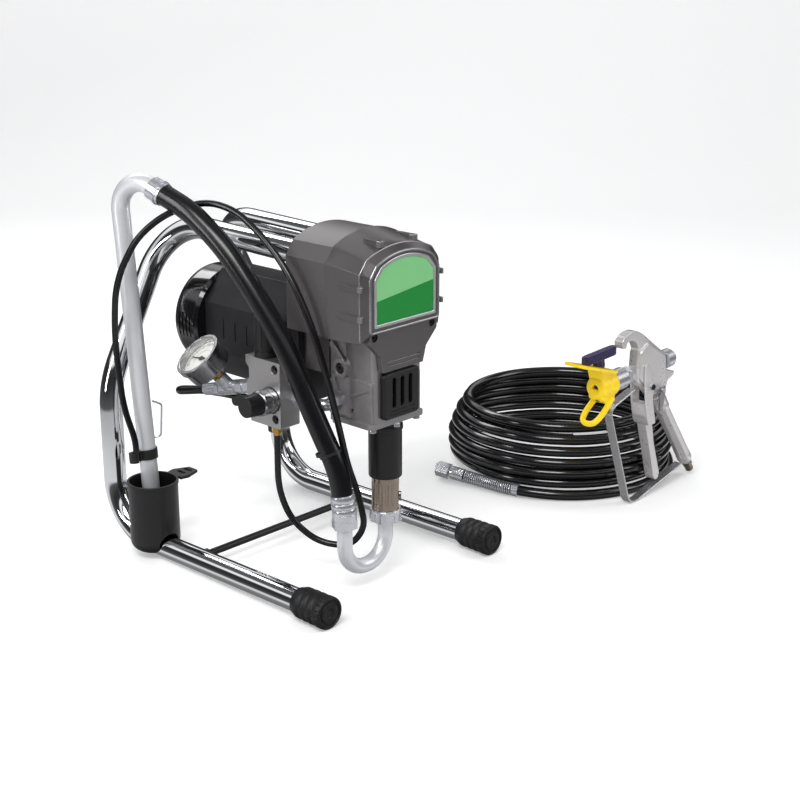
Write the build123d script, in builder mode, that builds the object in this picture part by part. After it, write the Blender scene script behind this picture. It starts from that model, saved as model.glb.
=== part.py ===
from build123d import *
import math
import os

os.makedirs("parts", exist_ok=True)

# Airless paint sprayer: motor, gear drive and piston pump on a stand of two bent chrome tubes,
# with a siphon tube and drip cup, fluid manifold with gauge, coiled hose and spray gun.
# Working frame in mm: +Z up, floor at z = 0, x = 0 midway between the two legs, front faces -Y.
# "Left" is -X. The exported pieces are moved so that the origin is under the left foot.

CUT = Mode.SUBTRACT
SIDES = (-1, 1)                         # left, right

# ---------------------------------------------------------------- driving dimensions
# frame
TUBE_R, TUBE_WALL = 15.9, 1.6
LEG_X = 158.5                           # leg centre line to the middle plane
LEG_Y0, LEG_Y1 = -206.0, 223.0          # front end and rear upright
LEG_Z0, LEG_Z1 = 22.0, 15.9             # leg height at the feet and at the rear
LEG_BEND_Z = 228.0                      # where the uprights start to lean inwards
TOP_X, TOP_Z = 43.5, 447.0              # where the uprights turn forward
TOP_END_Y, TOP_END_Z = -95.0, 438.0
LEG_RADII = [74.0, 145.0, 78.0]
CROSS_ROD_Y, CROSS_ROD_Z, CROSS_ROD_R = 48.0, 18.4, 5.0
FOOT_R = 22.6
FOOT_Y = LEG_Y0 - 8.0                   # front face of the rubber feet
# drive
MOTOR_Z, CRANK_Z = 312.0, 405.0         # motor and crank axes, both along Y
PUMP_Y = -158.0                         # vertical pump axis at x = 0
STROKE = 25.0
CONNECTING_ROD_LEN = 95.0
# fluid lines
CUP_X, CUP_Y, CUP_R, CUP_TOP = -LEG_X, 136.0, 35.5, 110.0
SIPHON_R, SUCTION_R, DRAIN_R = 12.3, 14.3, 4.4
# hose and gun lying on the floor to the right
COIL_X, COIL_Y = 530.0, -45.0
COIL_HOSE_R = 8.0
GUN_Y = -238.0                          # middle plane of the gun


# ---------------------------------------------------------------- planes
def front_plane(y, x=0.0, z=0.0):
    """Plane facing -Y; sketch x along +X, sketch y along +Z."""
    return Plane(origin=(x, y, z), x_dir=(1, 0, 0), z_dir=(0, -1, 0))


def back_plane(y, x=0.0, z=0.0):
    """Plane facing +Y; sketch x along +X, sketch y along -Z."""
    return Plane(origin=(x, y, z), x_dir=(1, 0, 0), z_dir=(0, 1, 0))


def side_plane(x, y=0.0, z=0.0, side=1):
    """Plane facing +X or -X by side; sketch x along +Y, sketch y along +Z or -Z."""
    return Plane(origin=(x, y, z), x_dir=(0, 1, 0), z_dir=(side, 0, 0))


def level(z, x=0.0, y=0.0):
    """Plane facing up."""
    return Plane(origin=(x, y, z))


def along(origin, direction, distance=0.0):
    """Plane facing along the direction, the given distance from the origin."""
    return Plane(origin=origin + direction * distance, z_dir=direction)


# ---------------------------------------------------------------- bodies added to the open part
# each helper builds its own body, then adds it to or cuts it from the part that is open
def rod(plane, radius, length, bore=0, sides=0, taper=0, mode=Mode.ADD):
    """Round bar, or a prism with so many sides; a bore makes it a ring."""
    with BuildPart() as body:
        with BuildSketch(plane):
            if sides:
                RegularPolygon(radius, sides)
            else:
                Circle(radius)
            if bore:
                Circle(bore, mode=CUT)
        extrude(amount=length, taper=taper)
    add(body.part, mode=mode)


def drill(plane, radius, depth):
    """Round hole."""
    rod(plane, radius, depth, mode=CUT)


def block(plane, width, height, length, corner=0, taper=0, mode=Mode.ADD):
    """Rectangular bar centred on the plane, with optional corner radius."""
    with BuildPart() as body:
        with BuildSketch(plane):
            if corner:
                RectangleRounded(width, height, corner)
            else:
                Rectangle(width, height)
        extrude(amount=length, taper=taper)
    add(body.part, mode=mode)


def plate(plane, points, length, hole=None, mode=Mode.ADD):
    """Flat piece with a straight-sided outline; hole is (x, y, radius) in the sketch."""
    with BuildPart() as body:
        with BuildSketch(plane):
            with BuildLine():
                Polyline(*points, close=True)
            make_face()
            if hole:
                with Locations(hole[:2]):
                    Circle(hole[2], mode=CUT)
        extrude(amount=length)
    add(body.part, mode=mode)


def hood_outline(half_width, bottom, shoulder, crown, neck=0.82, drop=0.55):
    """Flat bottom, vertical sides, sloping shoulders, arched crown; call in a BuildLine block.

    The arch is neck times as wide as the sides and starts the drop share of the way to the crown.
    """
    neck_x = half_width * neck
    neck_z = shoulder + (crown - shoulder) * drop
    Line((-half_width, bottom), (half_width, bottom))
    Line((half_width, bottom), (half_width, shoulder))
    Line((half_width, shoulder), (neck_x, neck_z))
    ThreePointArc((neck_x, neck_z), (0, crown), (-neck_x, neck_z))
    Line((-neck_x, neck_z), (-half_width, shoulder))
    Line((-half_width, shoulder), (-half_width, bottom))


def hood(y, outline, length, mode=Mode.ADD):
    """Straight hood running forward from y."""
    with BuildPart() as body:
        with BuildSketch(front_plane(y)):
            with BuildLine():
                hood_outline(*outline)
            make_face()
        extrude(amount=length)
    add(body.part, mode=mode)


def hood_loft(back_y, back_outline, front_y, front_outline, mode=Mode.ADD):
    """Hood that changes from one outline to another."""
    with BuildPart() as body:
        with BuildSketch(front_plane(back_y)):
            with BuildLine():
                hood_outline(*back_outline)
            make_face()
        with BuildSketch(front_plane(front_y)):
            with BuildLine():
                hood_outline(*front_outline)
            make_face()
        loft(ruled=True)
    add(body.part, mode=mode)


# ---------------------------------------------------------------- bent tubes
def bent_line(points, radii):
    """Straight runs joined by tangent arcs; call in a BuildLine block."""
    last = Vector(*points[0])
    for i in range(1, len(points) - 1):
        corner = Vector(*points[i])
        back = (Vector(*points[i - 1]) - corner).normalized()
        ahead = (Vector(*points[i + 1]) - corner).normalized()
        angle = math.acos(max(-1, min(1, back.dot(ahead))))
        radius = radii[i - 1]
        reach = radius / math.tan(angle / 2)
        start, end = corner + back * reach, corner + ahead * reach
        centre = corner + (back + ahead).normalized() * (radius / math.sin(angle / 2))
        middle = centre + (corner - centre).normalized() * radius
        if (start - last).length > 1e-4:
            Line(last, start)
        ThreePointArc(start, middle, end)
        last = end
    Line(last, Vector(*points[-1]))


def smooth_radii(points, share=0.47):
    """Bend radii whose arcs use the given share of the shorter neighbouring run."""
    radii = []
    for i in range(1, len(points) - 1):
        corner = Vector(*points[i])
        back, ahead = Vector(*points[i - 1]) - corner, Vector(*points[i + 1]) - corner
        half_angle = math.radians(back.get_angle(ahead)) / 2
        radii.append(share * min(back.length, ahead.length) * math.tan(half_angle))
    return radii


def swept_tube(points, radii, outer, inner=0):
    """Bent bar, or tube if it has an inner radius; returns its builder and its centre line."""
    with BuildPart() as tube:
        with BuildLine() as path:
            bent_line(points, radii)
        with BuildSketch(along(path.line @ 0, path.line % 0)):
            Circle(outer)
            if inner:
                Circle(inner, mode=CUT)
        sweep()
    return tube, path.line


# ---------------------------------------------------------------- gears
def tooth_points(teeth, module, phase):
    """Outline of a gear with straight-flanked teeth; one tooth points at `phase` degrees."""
    pitch_radius = teeth * module / 2
    tip, root = pitch_radius + 0.85 * module, pitch_radius - 1.1 * module
    tip_half, root_half = 0.31 * module / tip, 0.95 * module / root
    points = []
    for k in range(teeth):
        middle = math.radians(phase) + 2 * math.pi * k / teeth
        for radius, turn in ((root, -root_half), (tip, -tip_half), (tip, tip_half), (root, root_half)):
            points.append((radius * math.cos(middle + turn), radius * math.sin(middle + turn)))
    return points


def direction_angle(start, end):
    """Angle in degrees of the line from one (x, z) axis position to another."""
    return math.degrees(math.atan2(end[1] - start[1], end[0] - start[0]))


# ================================================================ frame
# C-shaped chrome tube: leg, rear upright and top run, drilled for the cross rod
def frame_tube(side):
    points = [
        (side * LEG_X, LEG_Y0, LEG_Z0),
        (side * LEG_X, LEG_Y1, LEG_Z1),
        (side * LEG_X, LEG_Y1, LEG_BEND_Z),
        (side * TOP_X, LEG_Y1, TOP_Z),
        (side * TOP_X, TOP_END_Y, TOP_END_Z),
    ]
    bare_tube, _ = swept_tube(points, LEG_RADII, TUBE_R, TUBE_R - TUBE_WALL)
    with BuildPart() as tube:
        add(bare_tube.part)
        drill(side_plane(side * LEG_X, CROSS_ROD_Y, CROSS_ROD_Z, -side), CROSS_ROD_R + 0.1, 20)
    return tube


# cross rod between the legs with a collar at each end
CROSS_ROD_HALF = LEG_X - 8
COLLAR_X = LEG_X - TUBE_R - 1.2
with BuildPart() as cross_rod:
    rod(side_plane(-CROSS_ROD_HALF, CROSS_ROD_Y, CROSS_ROD_Z), CROSS_ROD_R, 2 * CROSS_ROD_HALF)
    for side in SIDES:
        rod(side_plane(side * COLLAR_X, CROSS_ROD_Y, CROSS_ROD_Z, -side), 8.0, 4)


# ribbed rubber foot: sleeve, wider front rim, ringed end face and a narrow flat under it
def foot(side):
    x = side * LEG_X

    def station(distance):
        return back_plane(FOOT_Y + distance, x, LEG_Z0)

    with BuildPart() as cap:
        rod(station(0), FOOT_R + 0.9, 14)
        rod(station(14), FOOT_R - 0.8, 42)
        for k in range(3):
            rod(station(19 + 11 * k), FOOT_R + 0.2, 6)
        drill(station(7.2), TUBE_R + 1.2, 60)
        rod(station(0), 17.5, 1.8, bore=14.5, mode=CUT)
        drill(station(0), 6.0, 1.2)
        # collar that grips the tube
        rod(back_plane(FOOT_Y + 44, x, LEG_Z0 - 0.72), FOOT_R - 2, 12, bore=TUBE_R + 0.6)
        # flat at floor level
        block(level(-10, x), 80, 800, 10, mode=CUT)
    return cap


# ================================================================ gear drive
# two-stage reduction: motor pinion - idler wheel, idler pinion - crank wheel
MODULE_1, MOTOR_TEETH, IDLER_WHEEL_TEETH = 1.5, 12, 54
MODULE_2, IDLER_PINION_TEETH, CRANK_TEETH = 1.75, 14, 50
AXIS_DISTANCE = CRANK_Z - MOTOR_Z
CENTRES_1 = (MOTOR_TEETH + IDLER_WHEEL_TEETH) * MODULE_1 / 2
CENTRES_2 = (IDLER_PINION_TEETH + CRANK_TEETH) * MODULE_2 / 2
# the idler axis lies at both centre distances, on the right
IDLER_RISE = (CENTRES_1 ** 2 - CENTRES_2 ** 2 + AXIS_DISTANCE ** 2) / (2 * AXIS_DISTANCE)
IDLER_X = math.sqrt(CENTRES_1 ** 2 - IDLER_RISE ** 2)
IDLER_Z = MOTOR_Z + IDLER_RISE
MOTOR_AXIS, CRANK_AXIS, IDLER_AXIS = (0, MOTOR_Z), (0, CRANK_Z), (IDLER_X, IDLER_Z)

SHAFT_BEARING_R = 15.0                  # outside radius of the crank bearings
CRANK_R, MOTOR_SHAFT_R, IDLER_PIN_R = 9.0, 6.0, 5.96
IDLER_SEAT_R = 6.0
PLATE_Y = -121.6                        # rear face of the bearing plate
REAR_BEARING_Y = -66
BACK_WALL_Y = -54                       # rear face of the gear case
TOP_SLOPE = (TOP_Z - TOP_END_Z) / (LEG_Y1 - TOP_END_Y)
# hood outlines: half width, bottom, shoulder, crown [, neck share, shoulder drop]
CASE_HOOD = (74, 346, 442, 476)
CASE_CAVITY = (69, 351, 438, 470)
PLATE_HOOD = (68.6, 351.3, 437.6, 469.4)

# rear gear case: hood closed at the back, lower pod for the motor pinion, frame tube sockets
with BuildPart() as gear_case:
    hood(BACK_WALL_Y, CASE_HOOD, 73.9)
    block(front_plane(BACK_WALL_Y, 13.5, 318.5), 115, 65, 45.9)
    hood(-60, CASE_CAVITY, 80, mode=CUT)
    block(front_plane(-60, 14, 325), 106, 68, 34.5, mode=CUT)
    for side in SIDES:
        rod(front_plane(-58, side * TOP_X, 439.0), 20.5, 41)
    rod(front_plane(-58, *CRANK_AXIS), 20, 19)
    rod(front_plane(-58, *IDLER_AXIS), 11, 18)
    # bored seats: frame tubes, crank bearing, idler pin, motor register
    for side in SIDES:
        socket_axis = Plane(
            origin=(side * TOP_X, 0, TOP_END_Z - TOP_SLOPE * TOP_END_Y),
            x_dir=(1, 0, 0),
            z_dir=(0, -1, -TOP_SLOPE),
        )
        drill(socket_axis, TUBE_R + 0.08, 0.6 - TOP_END_Y)
    drill(front_plane(REAR_BEARING_Y, *CRANK_AXIS), SHAFT_BEARING_R + 0.05, 20)
    drill(front_plane(-58, *IDLER_AXIS), IDLER_SEAT_R, 30)
    drill(front_plane(-50, *MOTOR_AXIS), 15, 20)
    # room around the idler pinion
    drill(front_plane(-94, *IDLER_AXIS), 16, 34)

# mid plate that carries the front crank bearing and the idler pin
with BuildPart() as bearing_plate:
    with BuildSketch(front_plane(PLATE_Y)):
        with BuildLine():
            hood_outline(*PLATE_HOOD)
        make_face()
        with Locations(CRANK_AXIS):
            Circle(SHAFT_BEARING_R + 0.05, mode=CUT)
        with Locations(IDLER_AXIS):
            Circle(IDLER_SEAT_R, mode=CUT)
        with Locations((-58, 420), (58, 420), (-58, 362), (58, 380)):
            Circle(2.6, mode=CUT)
    extrude(amount=6)

# bearings: two on the crank, two on the motor shaft
with BuildPart() as shaft_bearings:
    for y, length in ((REAR_BEARING_Y, 11), (PLATE_Y, 6)):
        rod(front_plane(y, *CRANK_AXIS), SHAFT_BEARING_R, length, bore=CRANK_R + 0.04)
    for y, radius, length in ((-43.9, 14.9, 10), (134, 13.9, 8)):
        rod(front_plane(y, *MOTOR_AXIS), radius, length, bore=MOTOR_SHAFT_R + 0.04)

# fixed pin of the idler
with BuildPart() as idler_pin:
    rod(front_plane(-58.1, *IDLER_AXIS), IDLER_PIN_R, 70)

# idler: large wheel driven by the motor pinion, small pinion driving the crank wheel
# a wheel is turned half a tooth so that its gap meets the tooth of its pinion
IDLER_WHEEL_PHASE = direction_angle(IDLER_AXIS, MOTOR_AXIS) + 180.0 / IDLER_WHEEL_TEETH
IDLER_PINION_PHASE = direction_angle(IDLER_AXIS, CRANK_AXIS)
CRANK_PHASE = direction_angle(CRANK_AXIS, IDLER_AXIS) + 180.0 / CRANK_TEETH
MOTOR_PHASE = direction_angle(MOTOR_AXIS, IDLER_AXIS)
with BuildPart() as idler_gear:
    plate(front_plane(-78, *IDLER_AXIS),
          tooth_points(IDLER_WHEEL_TEETH, MODULE_1, IDLER_WHEEL_PHASE), 10)
    plate(front_plane(-88, *IDLER_AXIS),
          tooth_points(IDLER_PINION_TEETH, MODULE_2, IDLER_PINION_PHASE), 29)
    drill(front_plane(-77, *IDLER_AXIS), IDLER_SEAT_R + 0.02, 60)
    with BuildSketch(front_plane(-77, *IDLER_AXIS)):
        with PolarLocations(26, 5):
            Circle(7.5)
    extrude(amount=12, mode=CUT)

# crank: wheel, shaft and front disc
with BuildPart() as crank_gear:
    plate(front_plane(-103, *CRANK_AXIS), tooth_points(CRANK_TEETH, MODULE_2, CRANK_PHASE), 13)
    with BuildSketch(front_plane(-103, *CRANK_AXIS)):
        with PolarLocations(28, 6):
            Circle(8)
    extrude(amount=13, mode=CUT)
    rod(front_plane(-67, *CRANK_AXIS), CRANK_R, 73)
    rod(front_plane(-138, *CRANK_AXIS), 27, 10)
    chamfer(crank_gear.faces().sort_by(Axis.Y)[0].edges(), 1.2)

# crank pin: carried by the connecting rod, it stops just short of the crank disc
PIN_Z = CRANK_Z + STROKE / 2            # drawn at the top of the stroke
WRIST_Z = PIN_Z - CONNECTING_ROD_LEN
CRANK_PIN_R, CRANK_PIN_LEN, WRIST_PIN_R = 7.0, 18.5, 5.0
CRANK_PIN_Y = -148.25
with BuildPart() as crank_pin:
    rod(front_plane(CRANK_PIN_Y, 0, PIN_Z), CRANK_PIN_R, CRANK_PIN_LEN)
    rod(front_plane(CRANK_PIN_Y - CRANK_PIN_LEN, 0, PIN_Z), 10, 3)

ROD_MIDDLE_Z = (PIN_Z + WRIST_Z) / 2
with BuildPart() as connecting_rod:
    with BuildSketch(front_plane(-151)):
        with Locations((0, PIN_Z)):
            Circle(14)
        with Locations((0, WRIST_Z)):
            Circle(9.5)
        with Locations((0, ROD_MIDDLE_Z)):
            Rectangle(13, CONNECTING_ROD_LEN)
        with Locations((0, PIN_Z)):
            Circle(CRANK_PIN_R + 0.03, mode=CUT)
        with Locations((0, WRIST_Z)):
            Circle(WRIST_PIN_R + 0.04, mode=CUT)
    extrude(amount=14)
    # slot recess in the front face
    with BuildSketch(front_plane(-165.1)):
        with Locations((0, ROD_MIDDLE_Z - 2)):
            SlotOverall(52, 6, rotation=90)
    extrude(amount=-4, mode=CUT)

# ================================================================ front cover
COVER_BACK_Y, COVER_EDGE_Y, COVER_FACE_Y = -128, -184, -194
COVER_BACK_HOOD = (75, 346, 443, 478)
COVER_EDGE_HOOD = (72.5, 348, 436, 466)
COVER_FACE_HOOD = (63, 360, 430, 458)
COVER_CAVITY_BACK = (70, 351, 439, 472.5)
COVER_CAVITY_FRONT = (64, 362, 430, 458)
COVER_SCREW_X, COVER_SCREW_Z = 53, 354
CHIN_POINTS = [                         # x, z
    (-62, 372), (-62, 346), (-42, 326), (-38, 305),
    (36, 305), (42, 326), (62, 346), (62, 372),
]
LABEL_Y = -192.5
LABEL_RECESS = (56.5, 366.5, 428, 453.5, 0.78, 0.6)
BORDER_OUTER = (56.3, 366.7, 427.8, 453.2, 0.78, 0.6)
BORDER_INNER = (52.3, 370.7, 425.5, 448.9, 0.78, 0.6)
LABEL_HOOD = (52.2, 370.8, 425.4, 448.8, 0.78, 0.6)

# hood, bevelled face, and a chin in front of the pump housing
with BuildPart() as front_cover:
    hood_loft(COVER_BACK_Y, COVER_BACK_HOOD, COVER_EDGE_Y, COVER_EDGE_HOOD)
    hood_loft(COVER_EDGE_Y, COVER_EDGE_HOOD, COVER_FACE_Y, COVER_FACE_HOOD)
    plate(front_plane(-183.5), CHIN_POINTS, 8)
    # hollow inside, with an opening in the bottom
    hood_loft(-127.5, COVER_CAVITY_BACK, -186, COVER_CAVITY_FRONT, mode=CUT)
    block(level(340, 0, -155), 68, 56, 24, mode=CUT)
    hood(-192.4, LABEL_RECESS, 4, mode=CUT)
    # side ribs and crown ribs
    for side in SIDES:
        for z in (380, 418):
            block(side_plane(side * 69.0, -168, z, side), 42, 7, 7.2, corner=2)
        block(level(440, side * 30, -166), 9, 30, 31.4, taper=3)
    # grooves across the chin
    for z in (312.5, 318.5):
        block(front_plane(-190.3, -1, z), 60, 2, 4, mode=CUT)
    # screw counterbores and holes
    for side in SIDES:
        drill(front_plane(COVER_EDGE_Y, side * COVER_SCREW_X, COVER_SCREW_Z), 5.6, 20)
        drill(front_plane(-170, side * COVER_SCREW_X, COVER_SCREW_Z), 2.6, 20)

# hex socket screws in the lower corners of the cover
with BuildPart() as cover_screws:
    for side in SIDES:
        x = side * COVER_SCREW_X
        rod(front_plane(-184.1, x, COVER_SCREW_Z), 4.6, 5)
        rod(front_plane(-186.6, x, COVER_SCREW_Z), 2.3, 4, sides=6, mode=CUT)
        rod(front_plane(-174, x, COVER_SCREW_Z), 2.5, 10.5)

# two-tone label plate in a border
with BuildPart() as label_border:
    with BuildSketch(front_plane(LABEL_Y)):
        with BuildLine():
            hood_outline(*BORDER_OUTER)
        make_face()
        with BuildLine():
            hood_outline(*BORDER_INNER)
        make_face(mode=CUT)
    extrude(amount=2.6)
with BuildPart() as label_lower:
    plate(front_plane(LABEL_Y), [(-52.2, 370.8), (52.2, 370.8), (52.2, 412), (-52.2, 400)], 1.6)
with BuildPart() as label_upper:
    with BuildSketch(front_plane(LABEL_Y)):
        with BuildLine():
            hood_outline(*LABEL_HOOD)
        make_face()
        with BuildLine():
            Polyline((-60, 360), (60, 360), (60, 412.95), (-60, 399.1), close=True)
        make_face(mode=CUT)
    extrude(amount=1.6)

# ================================================================ motor
MOTOR_BACK_Y = 134
MOTOR_HALF_WIDTH = 55
MOTOR_BORE_R = 51
SHAFT_HOLE_R = MOTOR_SHAFT_R + 0.02     # hole in what turns with the shaft
MOTOR_OUTLINE = [                       # x, z
    (-55, 278), (-55, 346), (-34, 372), (-22, 388), (22, 388), (34, 372),
    (55, 346), (55, 278), (36, 252), (24, 236), (-24, 236), (-36, 252),
]
with BuildPart() as motor_case:
    plate(front_plane(MOTOR_BACK_Y), MOTOR_OUTLINE, 187.9)
    drill(front_plane(140, *MOTOR_AXIS), MOTOR_BORE_R, 186)
    drill(front_plane(-40, *MOTOR_AXIS), 14.95, 20)
    # shallow grooves in the sides
    for k in range(5):
        for side in SIDES:
            groove_plane = side_plane(side * MOTOR_HALF_WIDTH, 24 * k, MOTOR_Z, -side)
            block(groove_plane, 3, 30, 1.4, corner=1.2, mode=CUT)

# magnet shells, parted at the top and bottom
with BuildPart() as motor_magnets:
    with BuildSketch(front_plane(108, *MOTOR_AXIS)):
        Circle(MOTOR_BORE_R - 0.1)
        Circle(44, mode=CUT)
        with Locations((0, 60), (0, -60)):
            Rectangle(26, 60, mode=CUT)
    extrude(amount=126)

# rear bell with grille, and a web for the rear bearing behind the armature
BELL_R = 74.0
BELL_FRONT_Y, BELL_BACK_Y = 134.2, 190
BELL_ROUND = [(170, MOTOR_Z + BELL_R), (184, MOTOR_Z + 68), (BELL_BACK_Y, MOTOR_Z + 54)]    # y, z
with BuildPart() as motor_bell:
    with BuildSketch(Plane.YZ):
        with BuildLine():
            Polyline((BELL_FRONT_Y, MOTOR_Z), (BELL_FRONT_Y, MOTOR_Z + 70),
                     (139, MOTOR_Z + BELL_R), BELL_ROUND[0])
            ThreePointArc(*BELL_ROUND)
            Polyline(BELL_ROUND[2], (BELL_BACK_Y, MOTOR_Z), (BELL_FRONT_Y, MOTOR_Z))
        make_face()
    revolve(axis=Axis((0, 0, MOTOR_Z), (0, 1, 0)))
    drill(front_plane(186, *MOTOR_AXIS), 68, 46)
    drill(front_plane(150, *MOTOR_AXIS), 14.0, 30)
    # rear grille
    with BuildSketch(front_plane(192, *MOTOR_AXIS)):
        with PolarLocations(40, 16):
            SlotOverall(30, 5)
    extrude(amount=10, mode=CUT)
    # air openings in the web that holds the rear bearing
    with BuildSketch(front_plane(142, *MOTOR_AXIS)):
        with PolarLocations(32, 6):
            Circle(8)
    extrude(amount=10, mode=CUT)
    # side louvres
    for k in range(4):
        for side in SIDES:
            louvre_plane = side_plane(side * 60, 146 + 7.5 * k, MOTOR_Z, side)
            block(louvre_plane, 3, 34, 20, corner=1.4, mode=CUT)

# shaft with the motor pinion at its front end
with BuildPart() as motor_shaft:
    rod(front_plane(176, *MOTOR_AXIS), MOTOR_SHAFT_R, 238)
    plate(front_plane(-62, *MOTOR_AXIS), tooth_points(MOTOR_TEETH, MODULE_1, MOTOR_PHASE), 28)

# slotted armature with a smaller drum behind it
with BuildPart() as armature:
    with BuildSketch(front_plane(100, *MOTOR_AXIS)):
        Circle(42.5)
        Circle(SHAFT_HOLE_R, mode=CUT)
        with PolarLocations(40, 14):
            Rectangle(9, 3.4, mode=CUT)
    extrude(amount=112)
    rod(front_plane(124, *MOTOR_AXIS), 16, 25, bore=SHAFT_HOLE_R)

with BuildPart() as cooling_fan:
    rod(front_plane(172, *MOTOR_AXIS), 60, 3, bore=SHAFT_HOLE_R)
    with BuildSketch(front_plane(169, *MOTOR_AXIS)):
        with PolarLocations(40, 11):
            Rectangle(36, 2.6)
        Circle(15)
        Circle(SHAFT_HOLE_R, mode=CUT)
    extrude(amount=18)

# rocker switch, its bezel and pin, cable gland and power cord on the right side of the motor
FITTING_X = MOTOR_HALF_WIDTH + 0.05
SWITCH_PIN_X, SWITCH_PIN_R = 58.4, 1.5
GLAND_Y, GLAND_Z = 30, 278
ROCKER_POINTS = [                       # x, -z
    (56.6, -299), (63.6, -299.6), (61.2, -312), (63.6, -324.4), (56.6, -325),
]
CORD_POINTS = [
    (56, GLAND_Y, GLAND_Z), (92, GLAND_Y, GLAND_Z), (100, 96, 262), (66, 170, 222), (30, 205, 216),
]
with BuildPart() as switch_bezel:
    with BuildSketch(side_plane(FITTING_X, 84, MOTOR_Z)):
        RectangleRounded(26, 38, 3)
        Rectangle(17, 29, mode=CUT)
    extrude(amount=6)
with BuildPart() as power_switch:
    plate(back_plane(76), ROCKER_POINTS, 16, hole=(SWITCH_PIN_X, -MOTOR_Z, SWITCH_PIN_R + 0.04))
with BuildPart() as switch_pin:
    rod(back_plane(75.5, SWITCH_PIN_X, MOTOR_Z), SWITCH_PIN_R, 17)
with BuildPart() as cord_gland:
    rod(side_plane(FITTING_X, GLAND_Y, GLAND_Z), 10, 7, sides=6)
    rod(side_plane(FITTING_X + 7, GLAND_Y, GLAND_Z), 7.5, 11, taper=8)
    drill(side_plane(50, GLAND_Y, GLAND_Z), 4.1, 40)
power_cord, _ = swept_tube(CORD_POINTS, [12, 40, 30], 4.0)


# ================================================================ pump
def pump_level(z):
    """Level plane centred on the pump axis."""
    return level(z, 0, PUMP_Y)


CYLINDER_R, CYLINDER_BORE_R = 16, 12
PISTON_R = 9.0
PACKING_R = 11.96                       # fits the cylinder bore
OUTLET_Y, OUTLET_Z = -111, 250          # port in the left side of the pump housing
WINDOW_X, WINDOW_Z = -1, 270

with BuildPart() as pump_housing:
    block(level(229, 0, -141.1), 92, 81.8, 61, corner=8)
    block(level(290, 0, -155.1), 88, 53.8, 55.8, corner=6)
    block(level(289, 0, -119), 84, 36, 50.8)
    # base flange
    block(level(228, 0, -143), 100, 78, 7, corner=6)
    # connecting-rod chamber, open at the top
    block(level(246, 0, -157), 68, 42, 110, corner=5, mode=CUT)
    # bore for the pump cylinder
    drill(pump_level(220), CYLINDER_R + 0.1, 40)
    # front window behind the guard
    block(front_plane(-172, WINDOW_X, WINDOW_Z), 52, 46, 20, corner=4, mode=CUT)
    # left side: raised boss with a blind hole, slot under it, lower screw hole
    rod(side_plane(-43.5, -124, 300, -1), 13, 5)
    drill(side_plane(-49, -124, 300), 7.4, 9)
    with BuildSketch(side_plane(-46.5, -118, 276)):
        SlotOverall(22, 6, rotation=70)
    extrude(amount=3, mode=CUT)
    drill(side_plane(-46.5, -144, 246), 3.4, 5)
    # port for the outlet elbow
    drill(side_plane(-47, OUTLET_Y, OUTLET_Z), 8.1, 10)

# guard with three upright slots and two grooves, hollowed behind
with BuildPart() as vent_guard:
    block(front_plane(-182.1, WINDOW_X, WINDOW_Z), 66, 62, 8, corner=6)
    chamfer(vent_guard.faces().sort_by(Axis.Y)[0].edges(), 2)
    with BuildSketch(front_plane(-182, WINDOW_X, 274)):
        with GridLocations(15, 1, 3, 1):
            SlotOverall(40, 7, rotation=90)
    extrude(amount=9, mode=CUT)
    with BuildSketch(front_plane(-189, WINDOW_X, 247)):
        with GridLocations(1, 5, 1, 2):
            Rectangle(44, 1.8)
    extrude(amount=3, mode=CUT)
    block(front_plane(-182, WINDOW_X, WINDOW_Z), 54, 50, 3, mode=CUT)

with BuildPart() as pump_cylinder:
    rod(pump_level(135), CYLINDER_R, 121, bore=CYLINDER_BORE_R)
with BuildPart() as packing_nut:
    rod(pump_level(256.1), 19, 10, bore=PISTON_R + 0.05, sides=6)
with BuildPart() as packings:
    rod(pump_level(226), PACKING_R, 28, bore=PISTON_R + 0.04)

# sleeve over the cylinder with a raised band
with BuildPart() as pump_sleeve:
    with BuildSketch(pump_level(150)):
        Circle(22.3)
        Circle(CYLINDER_R + 0.05, mode=CUT)
    extrude(amount=77.9)
    chamfer(pump_sleeve.edges().filter_by(GeomType.CIRCLE).sort_by(Axis.Z)[:1], 0.8)
    rod(pump_level(216), 23.6, 6, bore=20)

# fluted foot valve with the seat of the inlet ball
SEAT_Z, SEAT_R, BALL_R = 116, 5.2, 7.5
with BuildPart() as foot_valve:
    rod(pump_level(104), 18.3, 45.9)
    with BuildSketch(pump_level(112)):
        with PolarLocations(19.6, 14):
            Circle(2.4)
    extrude(amount=30, mode=CUT)
    drill(pump_level(134.9), CYLINDER_R + 0.05, 20)
    drill(pump_level(SEAT_Z), 11, 20)
    drill(pump_level(100), SEAT_R, 20)
    drill(pump_level(98), 9, 12)
    # oval push button on the front right
    button_plane = Plane(
        origin=(12.6, PUMP_Y - 12.6, 120), x_dir=(0, 0, 1), z_dir=(1, -1, 0)
    )
    with BuildSketch(button_plane):
        Ellipse(6.5, 4.2)
    extrude(amount=3.2)

# ball resting just above the edge of its seat
with BuildPart() as inlet_ball:
    with Locations((0, PUMP_Y, SEAT_Z + math.sqrt(BALL_R ** 2 - SEAT_R ** 2) + 0.03)):
        Sphere(BALL_R)

with BuildPart() as pump_nut:
    rod(pump_level(87), 21.4, 16.9, bore=10.6)
    chamfer(pump_nut.edges().filter_by(GeomType.CIRCLE).sort_by(Axis.Z)[-2:], 1.2)
    with BuildSketch(pump_level(86)):
        with PolarLocations(22.5, 10):
            Rectangle(5, 6)
    extrude(amount=12, mode=CUT)

# piston rod with a fork at the top
with BuildPart() as piston_rod:
    rod(pump_level(188), PISTON_R, 122)
    rod(pump_level(165), PACKING_R, 24)
    block(pump_level(307), 24, 32, 26, corner=4)
    block(pump_level(312.5), 30, 15, 40, mode=CUT)
    drill(front_plane(-130, 0, WRIST_Z), WRIST_PIN_R, 60)
with BuildPart() as wrist_pin:
    rod(front_plane(-142.5, 0, WRIST_Z), WRIST_PIN_R, 31)

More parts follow.
